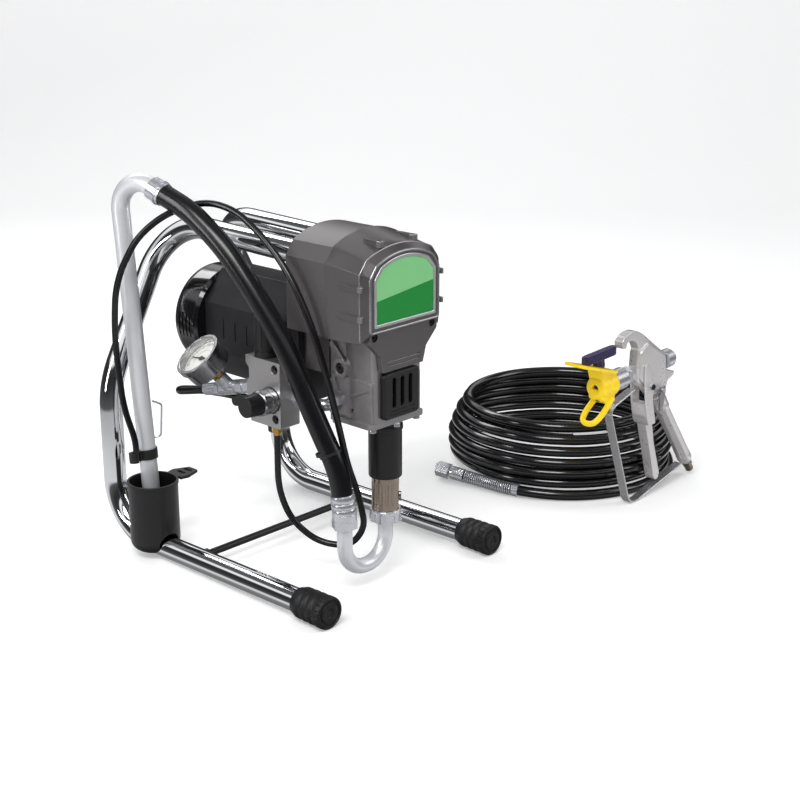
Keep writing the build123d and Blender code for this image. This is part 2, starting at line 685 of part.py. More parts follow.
# inlet U-tube and the ferrule of the suction hose on its left end
INLET_X, INLET_Y = -73.5, PUMP_Y + 3
INLET_BOTTOM_Z = 32
INLET_R = 10.3
inlet_tube, _ = swept_tube(
    [(0, PUMP_Y, 103), (0, PUMP_Y, INLET_BOTTOM_Z),
     (INLET_X, INLET_Y, INLET_BOTTOM_Z), (INLET_X, INLET_Y, 108)],
    [36.2, 36.2], INLET_R, INLET_R - 2,
)
with BuildPart() as lower_ferrule:
    with BuildSketch(level(96, INLET_X, INLET_Y)):
        RegularPolygon(17.5, 6)
        Circle(INLET_R + 0.1, mode=CUT)
    extrude(amount=12)
    with BuildSketch(level(108, INLET_X, INLET_Y)):
        Circle(16.2)
        Circle(INLET_R + 0.1, mode=CUT)
    extrude(amount=10)
    chamfer(lower_ferrule.edges().filter_by(GeomType.CIRCLE).sort_by(Axis.Z)[-2:-1], 1.0)

# ================================================================ suction, siphon and drain lines
# bend corners of the two hoses: x, y, z
SUCTION_POINTS = [
    (INLET_X - 0.07, PUMP_Y + 3.4, 120.8), (-75, -147, 172), (-88, -115, 245), (-98, -84, 320),
    (-111, -40, 391), (-122, 10, 452), (-132, 64, 492), (-139.6, 104, 508),
]
DRAIN_X, DRAIN_Y = -80, -36             # drain port under the manifold
DRAIN_END_X, DRAIN_END_Y = -174.2, 149
DRAIN_POINTS = [
    (DRAIN_X, DRAIN_Y, 196.8), (-79.5, -35, 120), (-64, -42, 72), (-44, -74, 42),
    (-20, -112, 40), (-10, -130, 70), (-26, -134, 122), (-48, -136, 170),
    (-66, -138, 232), (-80, -130, 305), (-87, -114, 362), (-91, -84, 418),
    (-93, -40, 462), (-97, 14, 494), (-108, 58, 502), (-142, 98, 486),
    (-172, 124, 455), (-184, 160, 392), (-184, 170, 310), (-180, 164, 215),
    (DRAIN_END_X, DRAIN_END_Y, 168), (DRAIN_END_X, DRAIN_END_Y, 138),
]
suction_hose, suction_line = swept_tube(SUCTION_POINTS, smooth_radii(SUCTION_POINTS), SUCTION_R)
drain_hose, _ = swept_tube(DRAIN_POINTS, smooth_radii(DRAIN_POINTS), DRAIN_R)

# ferrule at the upper end of the suction hose
SUCTION_END, SUCTION_DIR = suction_line @ 1, suction_line % 1
with BuildPart() as upper_ferrule:
    rod(along(SUCTION_END, SUCTION_DIR, 0.1), 15.6, 21, bore=SIPHON_R + 0.1)
    rod(along(SUCTION_END, SUCTION_DIR, 5), 17.0, 3, bore=15)

# siphon tube: carries on from the hose, then bends down into the drip cup
SIPHON_START = SUCTION_END + SUCTION_DIR * 0.6
siphon_tube, siphon_line = swept_tube(
    [SIPHON_START, SIPHON_START + SUCTION_DIR * 88, (-150.5, 151, 92)],
    [38], SIPHON_R, SIPHON_R - 1.6,
)
SIPHON_TIP, SIPHON_DIR = siphon_line @ 1, siphon_line % 1


def siphon_point(z):
    """Point at height z on the straight lower run of the siphon tube."""
    return SIPHON_TIP - SIPHON_DIR * ((z - SIPHON_TIP.Z) / (-SIPHON_DIR.Z))


# clip that ties the drain hose end to the siphon tube
CLIP_LENGTH = 14
CLIP_CENTRE = siphon_point(150.0)
CLIP_PLANE = Plane(origin=CLIP_CENTRE, x_dir=(1, 0, 0), z_dir=SIPHON_DIR)
with BuildPart() as drain_clip:
    rod(CLIP_PLANE, SIPHON_R + 2.2, CLIP_LENGTH)
    with BuildSketch(CLIP_PLANE):
        with Locations((-24.0, 3.0)):
            Circle(DRAIN_R + 3.4)
    extrude(amount=CLIP_LENGTH)
    with BuildSketch(CLIP_PLANE):
        with Locations((-17, 2)):
            Rectangle(10, 7)
    extrude(amount=CLIP_LENGTH)
    drill(along(CLIP_CENTRE, SIPHON_DIR, -5), SIPHON_R + 0.06, 30)
    drill(level(120, DRAIN_END_X, DRAIN_END_Y), DRAIN_R + 0.9, 50)

# drip cup: open pot with a skirt that straddles the leg and a slotted hook plate
CUP_SADDLE_R = TUBE_R + 0.9
HOOK_PLATE_POINTS = [                   # x, y from the cup axis
    (33.5, -20), (46, -22), (68, -14), (68, 4), (46, 14), (33.5, 10),
]
with BuildPart() as drip_cup:
    rod(level(9, CUP_X, CUP_Y), CUP_R - 1.0, CUP_TOP - 9)
    fillet(drip_cup.edges().filter_by(GeomType.CIRCLE).sort_by(Axis.Z)[0], 16)
    rod(level(CUP_TOP - 5, CUP_X, CUP_Y), CUP_R, 5)
    drill(level(41, CUP_X, CUP_Y), CUP_R - 3.2, 80)
    # hook plate on the inner side
    plate(level(CUP_TOP - 4, CUP_X, CUP_Y), HOOK_PLATE_POINTS, 4)
    with BuildSketch(level(CUP_TOP - 6, CUP_X, CUP_Y)):
        with Locations((47, -4), (59, -4)):
            SlotOverall(16, 6, rotation=90)
    extrude(amount=10, mode=CUT)
    # saddle over the leg, open below
    with BuildSketch(back_plane(CUP_Y - 60, CUP_X, 19.2)):
        Circle(CUP_SADDLE_R)
        with Locations((0, -2.4)):
            Circle(CUP_SADDLE_R)
        with Locations((0, 12)):
            Rectangle(2 * CUP_SADDLE_R, 24)
    extrude(amount=120, mode=CUT)

# wire hook beside the siphon tube
HOOK_Z = 184.0
HOOK_CENTRE = siphon_point(HOOK_Z)
HOOK_OFFSETS = [(13.2, -2, -22), (22, -8, -20), (24, -10, 26), (12.6, -4, 32)]    # x, y, z
wire_hook, _ = swept_tube(
    [(HOOK_CENTRE.X + x, HOOK_CENTRE.Y + y, HOOK_Z + z) for x, y, z in HOOK_OFFSETS], [5, 6], 1.4
)

# cable tie around the suction hose
with BuildPart() as hose_tie:
    tie_plane = Plane(origin=(-78, -131, 193), x_dir=(1, 0, 0), z_dir=(-0.08, 0.34, 0.94))
    rod(tie_plane, SUCTION_R + 1.8, 5, bore=SUCTION_R + 0.25)

# ================================================================ manifold
# block limits: left and right, front and rear, bottom and top
BLOCK_X0, BLOCK_X1 = -93.0, -59.0
BLOCK_Y0, BLOCK_Y1 = -58.0, 8.0
BLOCK_Z0, BLOCK_Z1 = 212.0, 302.0
VALVE_Y, VALVE_Z = -40.0, 249.0
FILTER_X, FILTER_Y = -77.0, -16.0
KNOB_X, KNOB_Y = -67.0, -18.0
SCREW_Y, SCREW_HEIGHTS = -48, (292, 224)
VALVE_R, STEM_R = 12.0, 5.0
MANIFOLD_POINTS = [                     # y, z
    (BLOCK_Y0, BLOCK_Z1), (BLOCK_Y1, BLOCK_Z1), (BLOCK_Y1, BLOCK_Z1 - 10),
    (BLOCK_Y1 - 6, BLOCK_Z1 - 16), (BLOCK_Y1 - 6, BLOCK_Z1 - 30), (BLOCK_Y1 - 1, BLOCK_Z1 - 38),
    (BLOCK_Y1 - 1, 236), (BLOCK_Y1 - 8, BLOCK_Z0), (BLOCK_Y0, BLOCK_Z0),
]
BRACKET_POINTS = [                      # y, z
    (-52, 301), (6, 301), (6, 280), (-20, 280), (-20, 236), (-52, 216),
]


def valve_plane(offset):
    """Plane facing left on the valve axis, offset in x from the left face of the block."""
    return side_plane(BLOCK_X0 + offset, VALVE_Y, VALVE_Z, -1)


def filter_level(height):
    """Level plane on the filter axis, at a height above the top of the block."""
    return level(BLOCK_Z1 + height, FILTER_X, FILTER_Y)


def knob_level(height):
    """Level plane on the pressure knob axis, at a height above the bottom of the block."""
    return level(BLOCK_Z0 + height, KNOB_X, KNOB_Y)


with BuildPart() as manifold:
    plate(side_plane(BLOCK_X0), MANIFOLD_POINTS, BLOCK_X1 - BLOCK_X0)
    chamfer(manifold.edges().filter_by(Axis.X).group_by(Axis.Y)[0], 1.5)
    # valve seat and the two counterbored screw holes beside it
    drill(side_plane(BLOCK_X0, VALVE_Y, VALVE_Z), 18.4, 3)
    drill(side_plane(BLOCK_X0 - 1, VALVE_Y, VALVE_Z), VALVE_R + 0.1, 22)
    for z in SCREW_HEIGHTS:
        drill(side_plane(BLOCK_X0, SCREW_Y, z), 6.2, 9)
        drill(side_plane(BLOCK_X0, SCREW_Y, z), 3.4, 60)
    # filter chamber from the top
    drill(filter_level(1), 12.1, -40)
    # outlet port in the rear, drain and control ports in the bottom
    outlet_port = Plane(origin=(-78, 20, 252.8), x_dir=(1, 0, 0), z_dir=(0, -0.966, 0.259))
    drill(outlet_port, 7.1, 28)
    drill(level(BLOCK_Z0 - 1, DRAIN_X, DRAIN_Y), 4.1, 13)
    drill(knob_level(-1), 5.1, 13)

with BuildPart() as manifold_screws:
    for z in SCREW_HEIGHTS:
        with BuildSketch(side_plane(BLOCK_X0 + 3, SCREW_Y, z)):
            Circle(5.0)
            RegularPolygon(2.6, 6, mode=CUT)
        extrude(amount=5.9)
        rod(side_plane(BLOCK_X0 + 7, SCREW_Y, z), 3.3, 24)

# bracket between the manifold and the motor case
with BuildPart() as manifold_bracket:
    plate(side_plane(BLOCK_X1 + 0.05), BRACKET_POINTS, 3.9, hole=(SCREW_Y, 292, 3.4))

# elbow that carries fluid from the pump housing to the manifold, with a hex nut at each end
ELBOW_X = -65
elbow_tube, _ = swept_tube(
    [(-39, OUTLET_Y, OUTLET_Z), (ELBOW_X, OUTLET_Y, OUTLET_Z), (ELBOW_X, -58.2, OUTLET_Z)],
    [11], 8.0, 4.0,
)
with BuildPart() as outlet_elbow:
    add(elbow_tube.part)
    rod(front_plane(-58.1, ELBOW_X, OUTLET_Z), 11, 14, bore=7.8, sides=6)
    rod(side_plane(-46.2, OUTLET_Y, OUTLET_Z, -1), 11, 6, bore=7.8, sides=6)

# prime / spray valve: cartridge fixed in the block, lever boot turning on its stem
with BuildPart() as valve_cartridge:
    rod(valve_plane(20.5), VALVE_R, 17.6)
    rod(valve_plane(2.9), 17.0, 26)
    chamfer(valve_cartridge.faces().sort_by(Axis.X)[0].edges(), 1.6)
    rod(valve_plane(-8), 18, 2.4, bore=15.6, mode=CUT)
    rod(valve_plane(-20), STEM_R, 22)
with BuildPart() as valve_handle:
    rod(valve_plane(-23.3), 15.4, 22, taper=5)
    with BuildSketch(valve_plane(-25)):
        with Locations((17, -3)):
            SlotOverall(40, 13, rotation=10)
    extrude(amount=11)
    drill(valve_plane(-23), STEM_R + 0.04, 19.5)

# filter: fluted cap screwed into the top of the manifold, with its element inside
with BuildPart() as filter_cap:
    rod(filter_level(0.1), 16.5, 62)
    chamfer(filter_cap.faces().sort_by(Axis.Z)[-1].edges(), 2.5)
    with BuildSketch(filter_level(14)):
        with PolarLocations(17.4, 12):
            Circle(1.7)
    extrude(amount=44, mode=CUT)
    rod(filter_level(8), 18, 3, bore=15.2, mode=CUT)
    rod(filter_level(-12), 12.0, 14)
    drill(filter_level(-13), 10.2, 66)
with BuildPart() as filter_element:
    rod(filter_level(-34), 8.5, 68, bore=7.0)
    rod(filter_level(-30), 9.4, 4, bore=8)

# pressure control knob under the block
with BuildPart() as pressure_stem:
    rod(knob_level(11), STEM_R, -22)
with BuildPart() as pressure_knob:
    rod(knob_level(-0.5), 10.6, -16, taper=4)
    with BuildSketch(knob_level(-3)):
        with PolarLocations(11.4, 10):
            Circle(1.5)
    extrude(amount=-16, mode=CUT)
    drill(knob_level(0), STEM_R + 0.04, -12)

# brass drain fitting
with BuildPart() as drain_fitting:
    fitting_plane = level(BLOCK_Z0 - 10, DRAIN_X, DRAIN_Y)
    rod(fitting_plane, 7.4, 9.9, sides=6)
    rod(fitting_plane, 4.0, 20)
    rod(fitting_plane, 5.2, -5)
    rod(level(BLOCK_Z0 - 15, DRAIN_X, DRAIN_Y), 2.8, -0.1)

# ================================================================ outlet tee and gauge
# the tee runs backwards and slightly down; the gauge stands on it, square to the run
OUTLET_DIR = Vector(0, 0.966, -0.259).normalized()
OUTLET_START = Vector(-78, 8.4, 255.9)
TEE_CENTRE = OUTLET_START + OUTLET_DIR * 52
GAUGE_LEAN = Vector(-0.62, 0.2, 0.75)
GAUGE_DIR = (GAUGE_LEAN - OUTLET_DIR * GAUGE_LEAN.dot(OUTLET_DIR)).normalized()
GAUGE_BACK = TEE_CENTRE + GAUGE_DIR * 41
DIAL_HEIGHT, NEEDLE_PIN_R = 18, 1.5
with BuildPart() as outlet_tee:
    rod(along(OUTLET_START, OUTLET_DIR, -15), 7.0, 26)
    rod(along(OUTLET_START, OUTLET_DIR, 2.6), 11, 13, sides=6)
    rod(along(OUTLET_START, OUTLET_DIR, 15), 7.4, 24)
    rod(along(OUTLET_START, OUTLET_DIR, 20), 10.2, 12, sides=6)
    rod(along(TEE_CENTRE, OUTLET_DIR, -15), 10.2, 30)
    rod(along(TEE_CENTRE, GAUGE_DIR), 9.4, 25)
    rod(along(TEE_CENTRE, OUTLET_DIR, 14), 7.4, 16)
    rod(along(TEE_CENTRE, OUTLET_DIR, 18), 10.4, 10, sides=6)
with BuildPart() as gauge_stem:
    rod(along(TEE_CENTRE, GAUGE_DIR, 25.1), 8.4, 10, sides=6)
    rod(along(TEE_CENTRE, GAUGE_DIR, 35), 5.5, 6)


def gauge_height(edge):
    """Height of an edge above the back of the gauge."""
    return round((edge.center() - GAUGE_BACK).dot(GAUGE_DIR), 1)


# case with a wider bezel, hollowed from the front, and a hole for the needle pin
with BuildPart() as gauge_case:
    rod(along(GAUGE_BACK, GAUGE_DIR), 31.5, 27)
    fillet(gauge_case.edges().filter_by(GeomType.CIRCLE).group_by(gauge_height)[0], 3)
    rod(along(GAUGE_BACK, GAUGE_DIR, 21), 34.5, 9)
    drill(along(GAUGE_BACK, GAUGE_DIR, DIAL_HEIGHT), 29.6, 20)
    drill(along(GAUGE_BACK, GAUGE_DIR, 7), NEEDLE_PIN_R + 0.2, 12)
with BuildPart() as gauge_dial:
    rod(along(GAUGE_BACK, GAUGE_DIR, DIAL_HEIGHT + 0.05), 29.4, 1.2, bore=NEEDLE_PIN_R + 0.1)
with BuildPart() as gauge_glass:
    rod(along(GAUGE_BACK, GAUGE_DIR, 26), 29.5, 2.2)
with BuildPart() as gauge_needle:
    with BuildSketch(along(GAUGE_BACK, GAUGE_DIR, 21)):
        with BuildLine():
            Polyline((-1.5, -9), (1.5, -9), (0.5, 22), (-0.5, 22), close=True)
        make_face()
        Circle(3.6)
    extrude(amount=0.8)
    rod(along(GAUGE_BACK, GAUGE_DIR, 8), NEEDLE_PIN_R, 13.4)

# short whip hose that loops back under the motor, with its grooved ferrule and end nipple
WHIP_START = TEE_CENTRE + OUTLET_DIR * 30.2
WHIP_X, WHIP_END_Z = -38, 214
with BuildPart() as whip_ferrule:
    rod(along(WHIP_START, OUTLET_DIR), 8.6, 22, bore=6.2)
    for k in range(4):
        rod(along(WHIP_START, OUTLET_DIR, 4 + 4.2 * k), 9, 1.4, bore=8.1, mode=CUT)
    rod(along(WHIP_START, OUTLET_DIR), 7, 2)
WHIP_HOSE_START = WHIP_START + OUTLET_DIR * 3
WHIP_POINTS = [
    WHIP_HOSE_START, WHIP_HOSE_START + OUTLET_DIR * 44, (-76, 176, 212), (-54, 190, 206),
    (WHIP_X, 168, 206), (WHIP_X, 90, 211), (WHIP_X, 24, WHIP_END_Z),
]
whip_hose, _ = swept_tube(WHIP_POINTS, smooth_radii(WHIP_POINTS), 6.0)
with BuildPart() as whip_nipple:
    rod(front_plane(30, WHIP_X, WHIP_END_Z), 8.4, 18, bore=6.7)
    rod(front_plane(23.2, WHIP_X, WHIP_END_Z), 7.4, 12)
    rod(front_plane(12, WHIP_X, WHIP_END_Z), 9.4, 10, sides=6)
    rod(front_plane(2, WHIP_X, WHIP_END_Z), 6.4, 14)

# ================================================================ coiled hose
# the bottom turn is open where it runs straight out to the hose end; the others stack on it
TURN_RADII = [178.0, 170.0, 174.0, 173.0, 168.0, 160.0, 149.0]     # bottom to top
BOTTOM_TURN_Z = 8.1
TURN_PITCH, FIRST_STEP = 16.6, 18.2
HOSE_END = Vector(342.0, -4.0, 13.2)
# the straight tail leaves the bottom turn where it is tangent to it
CENTRE_TO_END = Vector(HOSE_END.X - COIL_X, HOSE_END.Y - COIL_Y, 0)
TAIL_ANGLE = (math.atan2(CENTRE_TO_END.Y, CENTRE_TO_END.X)
              + math.acos(TURN_RADII[0] / CENTRE_TO_END.length))
TAIL_START = Vector(
    COIL_X + TURN_RADII[0] * math.cos(TAIL_ANGLE),
    COIL_Y + TURN_RADII[0] * math.sin(TAIL_ANGLE),
    BOTTOM_TURN_Z,
)
TAIL_DIR = (HOSE_END - TAIL_START).normalized()
TAIL_BACK = TAIL_DIR * -1
TAIL_LEN = (HOSE_END - TAIL_START).length
TAIL_GAP = 1.2
with BuildPart() as hose_coil:
    with Locations((COIL_X, COIL_Y, BOTTOM_TURN_Z)):
        Torus(TURN_RADII[0], COIL_HOSE_R, major_angle=296,
              rotation=(0, 0, math.degrees(TAIL_ANGLE)))
    for i, radius in enumerate(TURN_RADII[1:]):
        with Locations((COIL_X, COIL_Y, BOTTOM_TURN_Z + FIRST_STEP + TURN_PITCH * i)):
            Torus(radius, COIL_HOSE_R)
with BuildPart() as coil_tail:
    rod(along(TAIL_START, TAIL_DIR, TAIL_GAP), COIL_HOSE_R, TAIL_LEN - TAIL_GAP)

# ferrule and swivel nut on the hose end
FERRULE_NECK_R = 5.6
with BuildPart() as coil_ferrule:
    rod(along(HOSE_END, TAIL_DIR, 0.2), 10.6, 24)
    rod(along(HOSE_END, TAIL_DIR, 24), FERRULE_NECK_R, 14)
    rod(along(HOSE_END, TAIL_DIR, 32), 7.4, 3)
    drill(along(HOSE_END, TAIL_DIR, 20), 2.5, 30)
with BuildPart() as hose_nut:
    rod(along(HOSE_END, TAIL_DIR, 27), 12.4, 4, bore=FERRULE_NECK_R + 0.05, sides=6)
    rod(along(HOSE_END, TAIL_DIR, 31), 12.4, 19, bore=7.9, sides=6)

# spring guard over the hose end: a sleeve with ten rings
with BuildPart() as spring_guard:
    rod(along(HOSE_END, TAIL_BACK, 2), 9.3, 64, bore=8.2)
    for k in range(10):
        rod(along(HOSE_END, TAIL_BACK, 3 + 6.2 * k), 10.4, 3.4, bore=8.4)

# ================================================================ spray gun
# drawn in the plane y = GUN_Y with sketch x along +X and sketch y along +Z; it points to -X
BARREL_DIR = Vector(0.9992, 0, 0.04).normalized()      # towards the rear of the gun
BARREL_POINT = Vector(480, GUN_Y, 210)                 # a point of the barrel axis
HANDLE_DIR = Vector(0.59, 0, -0.807).normalized()      # down the handle
HANDLE_TOP = Vector(509, GUN_Y, 163)
HANDLE_END = HANDLE_TOP + HANDLE_DIR * 169
TRIGGER_PIVOT = (478.8, 182.6)                         # x, z
LOCK_PIVOT = (504.0, 172.0)
# outlines of the gun pieces: x, z
HEAD_POINTS = [
    (411, 252), (404.5, 262), (412, 272), (440, 276), (459, 268), (508, 233), (523, 223),
    (523, 196.5), (531, 194.5), (551, 190), (545, 183), (531, 178), (529, 164), (489, 162),
    (474, 176), (462, 184), (446, 196), (445, 222), (449, 246), (440, 260), (430, 264),
    (418, 262), (418, 253),
]
GUARD_POINTS = [
    (446, 184.6), (398, 171.5), (389, 166), (387, 158), (441, 12), (448, 3), (460, 0), (470, 1),
    (588, 27.6), (587.2, 30.4), (470, 4), (460, 3), (450, 6), (444, 13), (390, 158),
    (391.5, 164), (399, 168.7), (447, 181.8),
]
CHEEK_POINTS = [
    (455, 222), (474, 222), (486, 186), (489, 158), (482, 140), (468, 140), (462, 158), (458, 190),
]
TRIGGER_BRIDGE_POINTS = [(462, 157), (488, 157), (495, 136), (498, 120), (474, 120), (468, 136)]
FINGER_POINTS = [
    (472, 138), (495, 136), (508, 80), (522, 32), (520, 25), (512, 22), (504, 27), (490, 70),
    (474, 120),
]
LOCK_POINTS = [(498, 178), (510, 178), (511, 168), (505, 140), (499, 139), (497, 166)]
UPPER_WING_POINTS = [
    (389, 219), (388, 226), (372, 234), (350, 240), (294, 252), (291, 248), (347, 233),
    (356, 226), (354, 214),
]
LOWER_WING_POINTS = [
    (386, 196), (384, 188), (372, 184), (334, 158), (331, 161.5), (356, 190), (358, 200),
]


def barrel_point(x):
    """Point of the barrel axis at x."""
    return BARREL_POINT + BARREL_DIR * ((x - BARREL_POINT.X) / BARREL_DIR.X)


def barrel_plane(x):
    """Plane square to the barrel axis at x, facing the rear of the gun."""
    return along(barrel_point(x), BARREL_DIR)


# head casting with the hanging hook and the thumb spur
with BuildPart() as gun_body:
    plate(front_plane(GUN_Y + 11), HEAD_POINTS, 22)
    rod(barrel_plane(431), 11.5, 20)
    drill(front_plane(GUN_Y + 20, *TRIGGER_PIVOT), 2.5, 40)
with BuildPart() as gun_rear_nut:
    rod(barrel_plane(524.3), 14.5, 16)
    rod(barrel_plane(540), 11, 6)

# handle, trimmed flat under the head
with BuildPart() as gun_handle:
    rod(along(HANDLE_TOP, HANDLE_DIR), 13.5, 42)
    rod(along(HANDLE_TOP, HANDLE_DIR, 40), 12, 124)
    rod(along(HANDLE_TOP, HANDLE_DIR, 163), 8, 6)
    drill(along(HANDLE_TOP, HANDLE_DIR, 155), 5.0, 30)
    block(front_plane(GUN_Y + 30, 520, 180.95), 80, 38.1, 60, mode=CUT)
with BuildPart() as gun_inlet:
    rod(along(HANDLE_END, HANDLE_DIR, -6), 4.96, 7)
    rod(along(HANDLE_END, HANDLE_DIR, 0.2), 8.6, 7, sides=6)
    rod(along(HANDLE_END, HANDLE_DIR, 7), 6.4, 12.8)
    drill(along(HANDLE_END, HANDLE_DIR, -8), 2.5, 40)
with BuildPart() as gun_diffuser:
    rod(barrel_plane(392), 16, 26)
    rod(barrel_plane(417), 15, 13.6, sides=6)
    rod(barrel_plane(374), 9.0, 20)
    drill(barrel_plane(365), 3, 60)

# flat strap that guards the trigger
with BuildPart() as trigger_guard:
    plate(front_plane(GUN_Y + 7), GUARD_POINTS, 14)
with BuildPart() as trigger_pin:
    rod(front_plane(GUN_Y + 14.6, *TRIGGER_PIVOT), 2.45, 29.2)
    rod(front_plane(GUN_Y - 14.2, *TRIGGER_PIVOT), 4.6, 2)

# trigger: two cheeks beside the head, joined below it by a bridge with the finger blade
with BuildPart() as gun_trigger:
    for y in (GUN_Y + 14.0, GUN_Y - 11.3):
        plate(front_plane(y), CHEEK_POINTS, 2.7, hole=(*TRIGGER_PIVOT, 2.49))
    plate(front_plane(GUN_Y + 14.0), TRIGGER_BRIDGE_POINTS, 28)
    plate(front_plane(GUN_Y + 9.0), FINGER_POINTS, 18)

# trigger lock lever on the -Y side of the head
LOCK_PIN_R = 3.0
with BuildPart() as lock_pin:
    rod(front_plane(GUN_Y - 11, *LOCK_PIVOT), LOCK_PIN_R, 10)
with BuildPart() as trigger_lock:
    plate(front_plane(GUN_Y - 14.6), LOCK_POINTS, 3.4, hole=(*LOCK_PIVOT, LOCK_PIN_R + 0.04))

# tip guard: ring with a long upper wing and a windowed lower wing, cross-bored for the tip
TIP_R = 4.2
TIP_CENTRE = barrel_point(361.5)
TIP_DIR = Vector(-0.04, 0, 0.9992).normalized()        # up, square to the barrel
with BuildPart() as tip_guard:
    rod(barrel_plane(352), 19, 38)
    plate(front_plane(GUN_Y + 14), UPPER_WING_POINTS, 28)
    plate(front_plane(GUN_Y + 15), LOWER_WING_POINTS, 30)
    # window in the lower wing
    window_plane = Plane(origin=(352, GUN_Y, 174), x_dir=(0, 1, 0), z_dir=(-0.56, 0, 0.83))
    with BuildSketch(window_plane):
        RectangleRounded(16, 17, 3)
    extrude(amount=30, both=True, mode=CUT)
    # seats along the barrel, then the cross bore
    drill(barrel_plane(371), 9.05, 30)
    drill(barrel_plane(391), 16.6, 10)
    drill(barrel_plane(340), 5.0, 60)
    drill(along(TIP_CENTRE, TIP_DIR, -40), TIP_R + 0.04, 80)

# reversible tip: a round stem with a flat slot-shaped handle on top
with BuildPart() as spray_tip:
    rod(along(TIP_CENTRE, TIP_DIR, -21), TIP_R, 66)
    with BuildSketch(Plane(origin=TIP_CENTRE + TIP_DIR * 43.5, x_dir=BARREL_DIR, z_dir=TIP_DIR)):
        SlotOverall(78, 10)
    extrude(amount=11)

# ================================================================ export
# like pieces of one material on one body share a file as separate solids
GROUPS = {
    "foot_caps": [foot(side) for side in SIDES],
    "frame_tubes": [frame_tube(side) for side in SIDES],
    "cross_rod": [cross_rod],
    "gear_case": [gear_case],
    "bearing_plate": [bearing_plate, shaft_bearings, idler_pin],
    "idler_gear": [idler_gear],
    "crank_gear": [crank_gear],
    "connecting_rod": [connecting_rod, crank_pin],
    "front_cover": [front_cover],
    "socket_screws": [cover_screws, manifold_screws],
    "label_border": [label_border],
    "label_lower": [label_lower],
    "label_upper": [label_upper],
    "motor_case": [motor_case],
    "motor_magnets": [motor_magnets],
    "motor_bell": [motor_bell],
    "armature": [armature, motor_shaft],
    "cooling_fan": [cooling_fan],
    "power_switch": [power_switch],
    "power_inlet": [switch_bezel, switch_pin, cord_gland, power_cord],
    "pump_housing": [pump_housing],
    "vent_guard": [vent_guard],
    "pump_cylinder": [pump_cylinder],
    "packing_set": [packing_nut, packings],
    "pump_sleeve": [pump_sleeve],
    "foot_valve": [foot_valve],
    "inlet_ball": [inlet_ball],
    "inlet_fittings": [pump_nut, lower_ferrule, upper_ferrule],
    "piston_rod": [piston_rod, wrist_pin],
    "inlet_tube": [inlet_tube],
    "suction_hose": [suction_hose],
    "siphon_tube": [siphon_tube],
    "drain_hose": [drain_hose],
    "hose_clips": [drain_clip, hose_tie],
    "drip_cup": [drip_cup],
    "wire_hook": [wire_hook],
    "manifold": [manifold, manifold_bracket],
    "outlet_fittings": [outlet_elbow, outlet_tee, whip_ferrule, whip_nipple],
    "valve_cartridge": [valve_cartridge],
    "valve_handle": [valve_handle],
    "filter_cap": [filter_cap],
    "filter_element": [filter_element],
    "pressure_knob": [pressure_knob],
    "brass_fittings": [drain_fitting, gauge_stem, pressure_stem],
    "whip_hose": [whip_hose],
    "gauge_case": [gauge_case],
    "gauge_dial": [gauge_dial],
    "gauge_glass": [gauge_glass],
    "gauge_needle": [gauge_needle],
    "hose_coil": [hose_coil, coil_tail],
    "coil_fittings": [coil_ferrule, spring_guard],
    "hose_nut": [hose_nut],
    "gun_body": [gun_body, gun_handle],
    "gun_fittings": [gun_rear_nut, gun_diffuser, trigger_pin, lock_pin],
    "gun_inlet": [gun_inlet],
    "trigger_guard": [trigger_guard],
    "gun_trigger": [gun_trigger],
    "trigger_lock": [trigger_lock],
    "tip_guard": [tip_guard],
    "spray_tip": [spray_tip],
}
# the exported origin is on the floor under the left foot
TO_FOOT_ORIGIN = Location((LEG_X, 3.0 - LEG_Y0, 0))
for node, members in GROUPS.items():
    if len(members) == 1:
        shape = members[0].part
    else:
        shape = Compound(children=[solid for member in members for solid in member.part.solids()])
    placed = shape.moved(TO_FOOT_ORIGIN)
    placed.label = node
    export_step(placed, "parts/" + node + ".step")
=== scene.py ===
"""Airless paint sprayer on a chrome tube frame, with a coiled hose and a spray gun.

It stands on z = 0 with its legs along Y. The front is towards -Y, up is +Z, and the
coil and the gun lie on the floor side by side towards +X. Shape numbers are in mm,
measured from the middle plane of the machine; SHIFT carries them to the frame of the
CAD pieces, which is in metres.
"""
import math
import random

import bmesh
import bpy
from mathutils import Matrix, Vector, noise


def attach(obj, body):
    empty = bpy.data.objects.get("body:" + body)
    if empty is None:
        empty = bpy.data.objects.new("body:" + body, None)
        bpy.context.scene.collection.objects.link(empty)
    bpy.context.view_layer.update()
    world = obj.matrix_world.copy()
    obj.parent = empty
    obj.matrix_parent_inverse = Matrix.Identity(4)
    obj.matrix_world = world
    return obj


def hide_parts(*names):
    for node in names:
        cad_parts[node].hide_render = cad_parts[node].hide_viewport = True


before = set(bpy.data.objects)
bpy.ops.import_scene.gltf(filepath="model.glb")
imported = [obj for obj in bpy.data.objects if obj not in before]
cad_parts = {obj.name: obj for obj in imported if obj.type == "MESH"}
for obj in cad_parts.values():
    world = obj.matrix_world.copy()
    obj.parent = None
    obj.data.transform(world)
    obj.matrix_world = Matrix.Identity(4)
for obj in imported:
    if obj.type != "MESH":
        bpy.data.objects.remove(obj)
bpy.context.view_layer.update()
random.seed(7)

MM = 1000                              # mm in a metre
SHIFT = Vector((158.5, 209.0, 0.0))
X_AXIS, Y_AXIS, Z_AXIS = Vector((1, 0, 0)), Vector((0, 1, 0)), Vector((0, 0, 1))


# ------------------------------------------------------------------ shader nodes
def make_node(tree, kind, inputs=None, **settings):
    """New node; each input takes either a socket to link or a plain value."""
    node = tree.nodes.new(kind)
    for key, value in settings.items():
        setattr(node, key, value)
    for key, value in (inputs or {}).items():
        if isinstance(value, bpy.types.NodeSocket):
            tree.links.new(value, node.inputs[key])
        else:
            node.inputs[key].default_value = value
    return node


